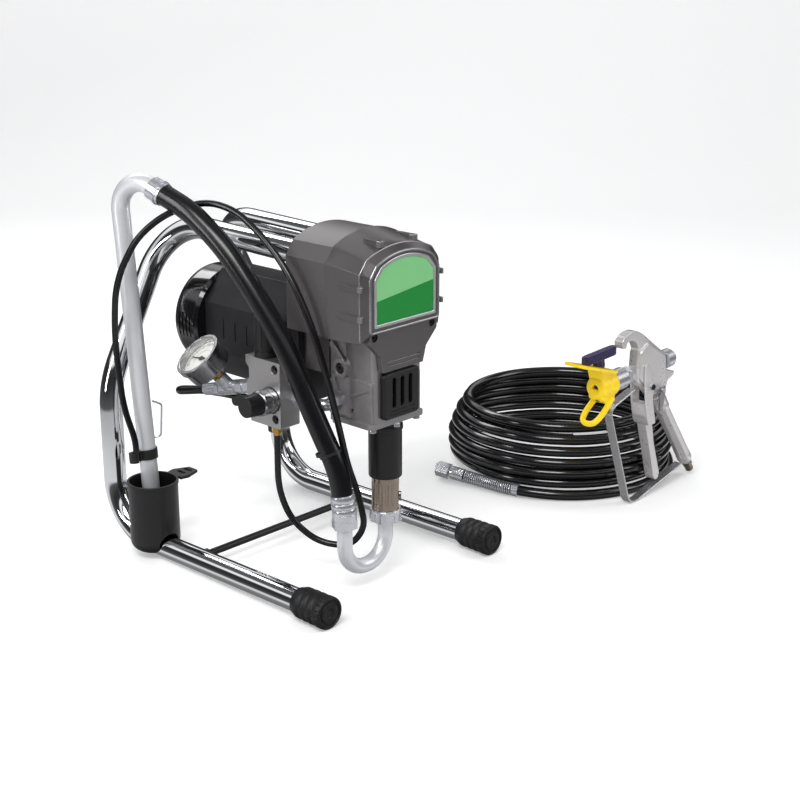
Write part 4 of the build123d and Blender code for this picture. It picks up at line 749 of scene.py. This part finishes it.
def build_coil_end(hose_path, end_dir):
    """Ferrule, and a guard spring that follows the hose up to a plain collar."""
    spring_start, spring_end, spring_pitch = 1.0, 90.0, 3.5
    spring_r, wire_r, substeps = 9.0, 1.15, 4
    bm = bmesh.new()
    for profile in (FERRULE, FERRULE_RING):
        lathe(bm, profile, COIL_END, end_dir, 48)
    core = flow(hose_path[0:60:3], 0.5)
    around = path_frames(core)
    wire, length, collar = [], 0.0, None
    for i in range(1, len(core)):
        step = (core[i] - core[i - 1]).length
        for k in range(substeps):
            along = length + step * k / substeps
            if spring_start < along < spring_end:
                _, normal, side = around[i]
                a = 2 * math.pi * along / spring_pitch
                wire.append(core[i - 1].lerp(core[i], k / substeps)
                            + (normal * math.cos(a) + side * math.sin(a)) * spring_r)
        length += step
        if length > spring_end and collar is None:
            collar = i
    sweep(bm, wire, wire_r, 8)
    lathe(bm, SPRING_COLLAR, core[collar], around[collar][0], 40)
    add("coil_hose_end", bm, "zinc", "coil", replaces="coil_fittings")


def build_coil():
    start_angle, end_dir = coil_start()
    path = coil_path(start_angle)
    add_tube("hose_coil_run", path, COIL_HOSE_R, "coil_hose", sides=28,
             body="coil", replaces="hose_coil")
    build_coil_end(path, end_dir)


# ------------------------------------------------------------------ spray gun
GUN_Y = -238.0                         # middle plane of the gun
BARREL_DIR = Vector((0.9992, 0, 0.04)).normalized()
BARREL_UP = Vector((-0.04, 0, 0.9992)).normalized()
BARREL_POINT = Vector((480, GUN_Y, 210))
HANDLE_DIR = Vector((0.59, 0, -0.807)).normalized()
HANDLE_TOP = Vector((509, GUN_Y, 163))


def on_barrel(x):
    return BARREL_POINT + BARREL_DIR * ((x - BARREL_POINT.x) / BARREL_DIR.x)


def gun_plate(bm, outline, corner_radius, thick, back=None):
    """Plate with an (x, z) outline, centred on the gun plane unless its +Y face is given."""
    back = thick / 2 if back is None else back
    slab(bm, round_poly(outline, corner_radius), (0, GUN_Y + back, 0), X_AXIS, Z_AXIS, thick)


# (x, z) outlines in the gun plane
GUN_HEAD = [
    (411, 253), (405.5, 262), (412, 271.5), (430, 276), (443, 275), (459, 267), (508, 233),
    (521, 223), (522, 200), (531, 196.5), (550, 190.5), (545, 184), (531, 179), (528, 165),
    (490, 163), (476, 177), (463, 185), (448, 195), (446, 222), (450, 246), (441, 259),
    (430, 263.5), (419, 261.5), (417.5, 253)]
GUN_CHEST = [
    (452, 240), (470, 252), (508, 229), (518, 221), (520, 198), (524, 186), (524, 168),
    (492, 167), (478, 182), (452, 198)]
TRIGGER_CHEEK = [
    (459, 220), (471, 220), (481, 197), (485, 183), (484.4, 160), (491, 137),
    (494.5, 121.5), (476, 121), (470, 138), (465, 160), (461, 190)]
TRIGGER_BLADE = [
    (474, 138), (490, 138), (501, 88), (520.3, 34), (518.6, 25.8), (512, 22.8), (506, 28),
    (492.5, 72), (477, 120)]
TRIGGER_LIP = [(466.5, 156.5), (484, 156.5), (491, 136), (494.6, 121), (476, 121), (470.4, 136)]
STRAP = [
    (446, 184.4), (398, 171.3), (389.2, 166), (387.2, 158), (441, 12), (448, 3.2),
    (460, 0.2), (470, 1.2), (587.8, 27.8), (587.2, 30.2), (470, 3.8), (460, 2.8),
    (450, 5.8), (443.8, 13), (390, 158), (391.6, 163.8), (399, 168.8), (446.7, 182)]
GUARD_TOP_WEB = [(389, 225), (389, 212), (357, 212), (349, 233), (360, 234)]
GUARD_LOW_WEB = [(387, 200), (386, 186), (372, 180), (356, 188), (354, 204)]

# (radius, distance along the axis)
HANDLE_COLLAR = [
    (0, 0), (13.4, 0), (13.4, 6), (12.6, 7), (13.4, 8), (13.4, 21), (12.0, 22.5), (12.0, 24),
    (13.0, 26), (13.0, 33), (12.0, 35), (0, 35)]
HANDLE_END = [(0, 150), (11.6, 150), (11.6, 160), (10, 163.6), (8, 164.5), (8, 168.6),
              (0, 168.6)]
# profile of the dark cap laid over the trigger pin as painted shade of the pivot hole
PIVOT_SHADE_CAP = [(0, 0), (4.3, 0), (4.7, 0.4), (4.7, 1.5), (4.3, 2.0), (2.4, 2.0), (2.4, 0.9),
            (0, 0.9)]
GUARD_RING = [
    (5.4, 2), (5.4, 20), (9.1, 20), (9.1, 37.6), (18.4, 37.6), (19, 35), (19, 22),
    (17.4, 19), (17.4, 6), (14.5, 1), (9, 0), (6.4, 0.6)]
TIP_STEM = [(0, -20.8), (3.4, -20.8), (4.1, -20), (4.1, 26), (5.4, 28), (5.4, 44), (0, 44)]

# (across, outwards) outlines of the upper wing of the guard and of the rib beneath it
UPPER_WING = [(-17, 2), (-21, 30), (-23, 62), (-18, 92), (-10, 96), (10, 96), (18, 92),
              (23, 62), (21, 30), (17, 2)]
UPPER_RIB = [(-12, 0), (-12, 36), (-5, 44), (5, 44), (12, 36), (12, 0)]
# (across, outwards) stations of the bar round the lower wing
LOWER_WING = [(-13, 8), (-13.5, 46), (-9, 58), (0, 61), (9, 58), (13.5, 46), (13, 8)]
# (along the barrel, across) outline of the tip handle; (along, up) outline of its web
TIP_HANDLE = [(-38, -3), (-38.5, 3), (-30, 5.5), (30, 5.5), (38.5, 4), (38.5, -4),
              (30, -5.5), (-30, -5.5)]
TIP_WEB = [(-12, 30), (-9, 45), (9, 45), (12, 30), (6, 27), (-6, 27)]


def build_gun_casting():
    nose_x, nose_r, nose_start, nose_end = 431, 11.6, 431, 450
    grip_r, grip_sides, grip_phase = 11.9, 8, 0.3927
    grip_start, grip_length = 32, 128
    bm = bmesh.new()
    gun_plate(bm, GUN_HEAD, 4.0, thick=15)
    gun_plate(bm, GUN_CHEST, 5.0, thick=22)
    nose = [(nose_r, nose_start), (nose_r, nose_end), (0, nose_end), (0, nose_start)]
    lathe(bm, nose, on_barrel(nose_x) - BARREL_DIR * nose_start, BARREL_DIR, 48, False)
    lathe(bm, HANDLE_COLLAR, HANDLE_TOP - HANDLE_DIR * 0.5, HANDLE_DIR, 48, False)
    angles = [2 * math.pi * k / grip_sides + grip_phase for k in range(grip_sides)]
    grip = [(grip_r * math.cos(a), grip_r * math.sin(a)) for a in angles]
    slab(bm, grip, HANDLE_TOP + HANDLE_DIR * grip_start, Y_AXIS, Y_AXIS.cross(HANDLE_DIR),
         -grip_length)
    lathe(bm, HANDLE_END, HANDLE_TOP, HANDLE_DIR, 48, False)
    add_fused("gun_casting", bm, "gun_alloy", "gun", voxel=0.7, relax=12,
              replaces="gun_body")


def build_trigger():
    """Two cheeks on the pin, joined by a lip and a tapered finger blade."""
    cheek, cheek_back = 2.7, 14.0
    bm = bmesh.new()
    for back in (cheek_back, -11.3):
        gun_plate(bm, TRIGGER_CHEEK, 6, thick=cheek, back=back)
    gun_plate(bm, TRIGGER_LIP, 3, thick=27.8)
    gun_plate(bm, TRIGGER_BLADE, 5, thick=16.8)
    add_fused("trigger_lever", bm, "gun_alloy", "trigger", voxel=0.6, relax=12,
              replaces="gun_trigger")


# Dark steel cap over the trigger pin: its dark colour is painted shade for the dark hole at the
# pivot.
def build_trigger_pivot_painted_shade():
    bm = bmesh.new()
    lathe(bm, PIVOT_SHADE_CAP, (478.8, GUN_Y - 16.0, 182.6), -Y_AXIS, 36, False)
    add("trigger_pivot_painted_shade", bm, "dark_steel", "gun", 35)


def build_guard_strap():
    bm = bmesh.new()
    gun_plate(bm, STRAP, 2.2, thick=13.8)
    ob = add("guard_strap", bm, "strap_steel", "gun", 35, "trigger_guard")
    bevel_edges(ob, 0.45, segments=2, angle=40)


def lower_wing(bm):
    """A rounded bar around an open middle, with a bowed cross bar."""
    root = Vector((386, GUN_Y, 193))
    out = (Vector((338, GUN_Y, 157)) - root).normalized()
    normal = out.cross(Y_AXIS).normalized()
    angles = [2 * math.pi * k / 16 for k in range(16)]
    section = [(4.6 * math.cos(a), 4.3 * math.sin(a)) for a in angles]
    rim = [root + Y_AXIS * across + out * along for across, along in LOWER_WING]
    cross_bar = [root + Y_AXIS * -13 + out * 17, root + out * 16, root + Y_AXIS * 13 + out * 17]
    for stations in (rim, cross_bar):
        sweep(bm, flow(stations, 1.5), section=section, up=normal)


def build_tip_guard():
    """Ring, broad upper wing and windowed lower wing."""
    wing_out = Vector((-1, 0, 0.30))
    bm = bmesh.new()
    lathe(bm, GUARD_RING, on_barrel(352), BARREL_DIR, 56)
    slab(bm, round_poly(UPPER_WING, 7), (389, GUN_Y, 223), Y_AXIS, wing_out, 4.4)
    slab(bm, round_poly(UPPER_RIB, 4), (388, GUN_Y, 219), Y_AXIS, wing_out, 6.4)
    lower_wing(bm)
    gun_plate(bm, GUARD_TOP_WEB, 2, thick=24)
    gun_plate(bm, GUARD_LOW_WEB, 3, thick=25)
    add_fused("tip_guard_moulded", bm, "yellow", "guard", voxel=0.6, relax=8,
              replaces="tip_guard")


def build_tip():
    """Upright stem across the barrel with a broad handle on top."""
    centre = on_barrel(361.5)
    handle_up, handle_depth, web_thick = 41.5, 13.2, 6.8
    bm = bmesh.new()
    lathe(bm, TIP_STEM, centre, BARREL_UP, 32, False)
    slab(bm, round_poly(TIP_HANDLE, 2.5), centre + BARREL_UP * handle_up, BARREL_DIR,
         BARREL_UP.cross(BARREL_DIR), handle_depth)
    slab(bm, round_poly(TIP_WEB, 2), centre - Vector((0, web_thick / 2, 0)), BARREL_DIR,
         BARREL_UP, -web_thick)
    add_fused("tip_key", bm, "violet", "tip", voxel=0.5, relax=8,
              replaces="spray_tip")


# ------------------------------------------------------------------ trim on the hood
def hood_outline(half_width, base_z, side_z, top_z, y):
    """Closed arched outline in the plane y."""
    spring_z = side_z + (top_z - side_z) * 0.55
    half_arch = half_width * 0.82
    centre_z = ((top_z * top_z - spring_z * spring_z - half_arch * half_arch)
                / (2 * (top_z - spring_z)))
    radius = top_z - centre_z
    span = math.asin(half_arch / radius)
    angles = [span * (1 - k / 14) for k in range(29)]
    arch = [(radius * math.sin(a), centre_z + radius * math.cos(a)) for a in angles]
    corners = [(-half_width, side_z), (-half_width, base_z), (half_width, base_z),
               (half_width, side_z)]
    return [Vector((x, y, z)) for x, z in round_poly(corners + arch, 4, 3)]


def loop_sweep(bm, path, radius, sides=12):
    """Round bead along a closed line."""
    count = len(path)
    rings = []
    for i in range(count):
        tangent = (path[(i + 1) % count] - path[i - 1]).normalized()
        normal = (Y_AXIS - tangent * Y_AXIS.dot(tangent)).normalized()
        rings.append(circle_verts(bm, SHIFT + path[i], normal, tangent.cross(normal),
                                  radius, sides))
    for i in range(count):
        bridge(bm, rings[i], rings[(i + 1) % count])


def build_hood_beads():
    bm = bmesh.new()
    loop_sweep(bm, hood_outline(62.4, base_z=360.6, side_z=429.6, top_z=457.2, y=-193.0), 1.9)
    loop_sweep(bm, hood_outline(72.0, base_z=348.6, side_z=435.6, top_z=465.4, y=-184.0), 1.1)
    add("hood_edge_beads", bm, "pewter_edge", smooth=60)


def build_rib_ends():
    """Small pads: two on each side of the hood and two on top."""
    side_wide, side_high = 4.0, 7.4
    top_pad = round_poly([(-4.6, 0), (4.6, 0), (4.6, 8), (-4.6, 8)], 1.2)
    bm = bmesh.new()
    for side in (-1, 1):
        side_pad = round_poly([(0, 0), (side * side_wide, 0), (side * side_wide, side_high),
                               (0, side_high)], 1.0)
        for z in (380, 418):
            slab(bm, side_pad, (side * 72.4, -188.6, z - side_high / 2), X_AXIS, Z_AXIS,
                 depth=1.5, back=4.5)
        slab(bm, top_pad, (side * 30, -180.4, 463.4), X_AXIS, Z_AXIS, depth=2.4, back=4.0)
    bevel_edges(add("rib_ends", bm, "pewter_edge"), 0.5, segments=2)


# ------------------------------------------------------------------ trim on the pump housing
# height above the flank, (y, z) outline
HOUSING_WEBS = [
    (2.2, [(-180, 232), (-174, 232), (-174, 288), (-180, 288)]),
    (2.6, [(-174, 284), (-140, 268), (-140, 263), (-174, 279)]),
    (2.6, [(-142, 263), (-137, 263), (-137, 236), (-142, 236)]),
    (2.2, [(-108, 283), (-103, 283), (-103, 236), (-108, 236)]),
    (1.6, [(-139, 300), (-135, 306), (-108, 335), (-104, 331), (-104, 326)]),
]
# (radius, distance along the axis)
HOUSING_BOLT = [(0, 0), (5.4, 0), (5.8, 0.5), (5.8, 3.6), (5.2, 4.2), (2.6, 4.2), (2.6, 1.8),
                (0, 1.8)]
FLANGE_BOLT = [(0, 0), (4.6, 0), (5, 0.5), (5, 4.6), (4.4, 5.2), (0, 5.2)]
FLANGE_BOLT_XY = [(-42, -176), (40, -176), (-44, -112), (44, -112), (-2, -180)]


def build_housing_webs():
    """Webs on the -X flank of the pump housing."""
    flank_x = -45.2
    bm = bmesh.new()
    for height, outline in HOUSING_WEBS:
        slab(bm, round_poly(outline, 1.6), (flank_x, 0, 0), Y_AXIS, Z_AXIS, -height)
    bevel_edges(add("housing_webs", bm, "cast_alloy"), 0.7, segments=3)


def build_bolts():
    bm = bmesh.new()
    # Bolt head in the boss hole; its dark steel colour is painted shade standing in for the dark
    # hole round it.
    lathe(bm, HOUSING_BOLT, (-44.0, -124, 300), -X_AXIS, 40, False)
    add("housing_bolt_dark_as_shade", bm, "dark_steel", smooth=35)
    bm = bmesh.new()
    for x, y in FLANGE_BOLT_XY:
        lathe(bm, FLANGE_BOLT, (x, y, 228.3), -Z_AXIS, 28, False)
    add("flange_bolts", bm, "zinc")


# ------------------------------------------------------------------ gauge scale
def on_dial(radius, share):
    """Point on the dial face; share 0..1 runs along the 270 degree scale."""
    angle = math.radians(-135 + 270 * share)
    up = (Z_AXIS - GAUGE_DIR * Z_AXIS.dot(GAUGE_DIR)).normalized()
    right = up.cross(GAUGE_DIR)
    return (GAUGE_CENTRE + GAUGE_DIR * 19.32
            + (up * math.cos(angle) + right * math.sin(angle)) * radius)


def build_dial_scale():
    divisions, tick_end, print_height = 50, 26.2, 0.12
    bm = bmesh.new()
    for k in range(divisions + 1):
        tick_start, half_width = (21.5, 0.42) if k % 5 == 0 else (23.8, 0.2)
        start, end = on_dial(tick_start, k / divisions), on_dial(tick_end, k / divisions)
        length = (end - start).length
        out = (end - start).normalized()
        tick = [(0, -half_width), (length, -half_width), (length, half_width), (0, half_width)]
        slab(bm, tick, start, out, GAUGE_DIR.cross(out), print_height)
    for radius, count, line_r in ((26.6, 80, 0.22), (15.6, 60, 0.16)):
        sweep(bm, [on_dial(radius, k / count) for k in range(count + 1)], line_r, 6)
    add("dial_scale", bm, "ink", smooth=30)


# ------------------------------------------------------------------ rings on the suction hose
# (radius, distance along the hose)
CABLE_TIE = [(14.35, -2.0), (15.7, -1.8), (15.7, 1.8), (14.35, 2.0)]
SUCTION_SLEEVE = [
    (14.4, -3), (15.9, -2.4), (16.2, 0), (16.2, 4), (15.7, 4.8), (16.2, 5.6), (16.2, 12),
    (15.7, 12.8), (16.2, 13.6), (16.2, 21), (15.5, 23), (14.4, 23.4)]


def build_cable_tie():
    tie_z = 196
    i = min(range(len(SUCTION)), key=lambda k: abs(SUCTION[k].z - tie_z))
    bm = bmesh.new()
    lathe(bm, CABLE_TIE, SUCTION[i], (SUCTION[i + 1] - SUCTION[i - 1]).normalized(), 56)
    add("cable_tie", bm, "tie")


def build_suction_sleeve():
    """Grooved sleeve over the lower end of the hose."""
    bm = bmesh.new()
    lathe(bm, SUCTION_SLEEVE, SUCTION[0], (SUCTION[3] - SUCTION[0]).normalized())
    add("suction_sleeve", bm, "zinc")


# ------------------------------------------------------------------ rubber feet
# (radius, distance back from the front face): ringed face, gripped rim, soft collars, bore
BOOT = [
    (0, 1.4), (5.2, 1.4), (6.2, 0.5), (7.0, 0.0), (13.2, 0.0), (14.0, 0.6), (14.4, 1.9),
    (17.0, 1.9), (17.4, 0.6), (18.2, 0.0), (19.6, 0.2), (20.9, 1.0), (21.7, 2.4), (21.8, 7),
    (21.7, 11.6), (21.1, 13.2), (20.1, 14.2), (20.1, 16.6), (21.2, 18.0), (21.6, 20),
    (21.6, 23), (21.2, 25.0), (20.0, 26.2), (20.0, 28.4), (21.0, 29.6), (21.4, 31.6),
    (21.4, 34.6), (21.0, 36.4), (19.8, 37.6), (19.8, 39.8), (20.8, 41.0), (21.1, 43),
    (21.0, 47.4), (20.2, 49.6), (18.6, 51), (18.2, 55.4), (17.6, 56), (16.4, 56),
    (16.4, 50), (17.0, 48), (17.0, 8.1), (0, 8.1)]


def build_feet():
    face_y = LEG_FRONT_Y - 8
    grooves, groove_depth = 16, 0.045  # depth as a share of the radius
    bm = bmesh.new()
    for side in (-1, 1):
        lathe(bm, BOOT, (side * LEG_X, face_y, LEG_FRONT_Z), Y_AXIS, 128, False)
    for vert in bm.verts:
        place = vert.co * MM - SHIFT
        side = 1 if place.x > 0 else -1
        dx, dz = place.x - side * LEG_X, place.z - LEG_FRONT_Z
        if 1.5 < place.y - face_y < 13 and math.hypot(dx, dz) > 20:
            ripple = max(0.0, math.cos(grooves * math.atan2(dz, dx))) ** 8
            scale = 1 - groove_depth * ripple
            vert.co.x = (place.x - dx + dx * scale + SHIFT.x) / MM
            vert.co.z = (place.z - dz + dz * scale + SHIFT.z) / MM
    add("foot_boots", bm, "rubber", replaces="foot_caps")


# ------------------------------------------------------------------ stage (metres)
def make_floor_material():
    mat = bpy.data.materials.new("mat_floor")
    mat.use_nodes = True
    tree = mat.node_tree
    fac = make_node(tree, "ShaderNodeTexNoise", {"Scale": 3}).outputs["Fac"]
    shade = map_range(tree, fac, 0.93, 0.95, start=0.0, end=1.0)
    set_inputs(tree, tree.nodes["Principled BSDF"], {
        "Base Color": shade, "Roughness": 0.7, "Emission Color": shade,
        "Emission Strength": 0.22})
    return mat


def build_backdrop():
    """Floor that curves up into a wall behind the machine, square to the camera."""
    cove_start, cove_r, wall_top = 2.2, 1.2, 4.5
    away = Vector((0.729, 0.6845, 0)).normalized()     # away from the camera
    across = Vector((away.y, -away.x, 0))
    profile = [(k * 0.25, 0.0) for k in range(-14, 1)]
    for k in range(1, 13):
        a = math.pi / 2 * k / 12
        profile.append((cove_start + cove_r * math.sin(a), cove_r - cove_r * math.cos(a)))
    profile.append((cove_start + cove_r, wall_top))
    bm = bmesh.new()
    rows = [[bm.verts.new(away * u + across * s + Vector((0.2, 0, z)) + SHIFT / MM)
             for s in (-6, -2, 2, 6)] for u, z in profile]
    for low, high in zip(rows, rows[1:]):
        for k in range(3):
            bm.faces.new((low[k], low[k + 1], high[k + 1], high[k]))
    mesh = to_mesh("backdrop", bm)
    mesh.shade_smooth()
    ob = link_object("backdrop", mesh)
    mesh.materials.append(make_floor_material())
    ob.visible_glossy = False


def build_camera():
    cam = bpy.data.cameras.new("camera")
    ob = link_object("camera", cam)
    # columns: the camera's right, up and backward directions
    turn = Matrix(((0.6845, 0.224, -0.694), (-0.729, 0.210, -0.651), (0.0, 0.952, 0.307)))
    place = Matrix.Translation(Vector((-1.3449, -1.4467, 0.85455)) + SHIFT / MM)
    ob.matrix_world = place @ turn.to_quaternion().normalized().to_matrix().to_4x4()
    cam.sensor_width = 36
    cam.lens = 67.69
    cam.clip_end = 50
    bpy.context.scene.camera = ob


# name, location, target, size and size_y (m), power (W)
LIGHTS = [
    ("key", (-1.6, -1.0, 2.4), (0.1, 0, 0.2), 1.4, 1.0, 46),
    ("fill", (1.6, -1.9, 1.5), (0.1, 0, 0.2), 1.2, 1.6, 15),
    ("rim", (0.6, 1.7, 1.9), (0.0, 0.1, 0.3), 1.6, 0.5, 15),
    ("strip", (-2.0, 0.6, 1.0), (0.0, 0.1, 0.3), 0.35, 1.6, 16),
]


def build_lights():
    for name, location, target, size, size_y, power in LIGHTS:
        light = bpy.data.lights.new(name, "AREA")
        light.energy = power
        light.shape = "RECTANGLE"
        light.size = size
        light.size_y = size_y
        ob = link_object(name, light)
        ob.location = Vector(location) + SHIFT / MM
        aim = Vector(target) - Vector(location)
        ob.rotation_euler = aim.to_track_quat("-Z", "Y").to_euler()


# (position, brightness) from straight down to straight up: bands seen in reflections
REFLECTED_BANDS = [
    (0.20, 0.25), (0.27, 0.75), (0.33, 0.75), (0.37, 0.10), (0.50, 0.04), (0.60, 0.03),
    (0.665, 0.05), (0.70, 0.95), (0.76, 1.0), (0.79, 0.12), (0.90, 0.08), (0.935, 0.8),
    (0.965, 0.12)]


def build_world():
    """Even light, banded reflections and a plain pale background for the camera."""
    world = bpy.data.worlds.new("studio")
    bpy.context.scene.world = world
    world.use_nodes = True
    tree = world.node_tree
    tree.nodes.clear()

    def background(color, strength):
        return make_node(tree, "ShaderNodeBackground",
                         {"Color": color, "Strength": strength}).outputs[0]

    def choose(ray, otherwise, when):
        return make_node(tree, "ShaderNodeMixShader",
                         {0: rays.outputs[ray], 1: otherwise, 2: when}).outputs[0]

    output = make_node(tree, "ShaderNodeOutputWorld")
    rays = make_node(tree, "ShaderNodeLightPath")
    coords = make_node(tree, "ShaderNodeTexCoord").outputs["Generated"]
    split = make_node(tree, "ShaderNodeSeparateXYZ", {0: coords})
    height = map_range(tree, split.outputs["Z"], 0.0, 1.0, start=-1, end=1)
    bands = make_node(tree, "ShaderNodeValToRGB", {"Fac": height})
    stops = bands.color_ramp.elements
    stops[0].position = 0.0
    stops[0].color = (0.08, 0.08, 0.08, 1)
    stops[1].position = 1.0
    stops[1].color = (0.30, 0.30, 0.31, 1)
    for position, value in REFLECTED_BANDS:
        stops.new(position).color = (value, value, value * 1.01, 1)
    even = background((0.97, 0.98, 1.0, 1), 0.42)
    banded = background(bands.outputs["Color"], 1.0)
    pale = background((0.93, 0.93, 0.935, 1), 1.0)
    lit = choose("Is Glossy Ray", even, banded)
    tree.links.new(choose("Is Camera Ray", lit, pale), output.inputs[0])


# ------------------------------------------------------------------ build
dress_cad_pieces()

build_frame()
build_suction_hose()
build_siphon_pipe()
build_inlet_pipe()
build_drain_hose()
build_outlet_hose()
build_coil()

build_gun_casting()
build_trigger()
build_trigger_pivot_painted_shade()
build_guard_strap()
build_tip_guard()
build_tip()

build_hood_beads()
build_rib_ends()
build_housing_webs()
build_bolts()
build_dial_scale()
build_cable_tie()
build_suction_sleeve()
build_feet()

build_backdrop()
build_camera()
build_lights()
build_world()
bpy.context.scene.view_settings.view_transform = "Standard"
bpy.context.scene.view_settings.look = "None"
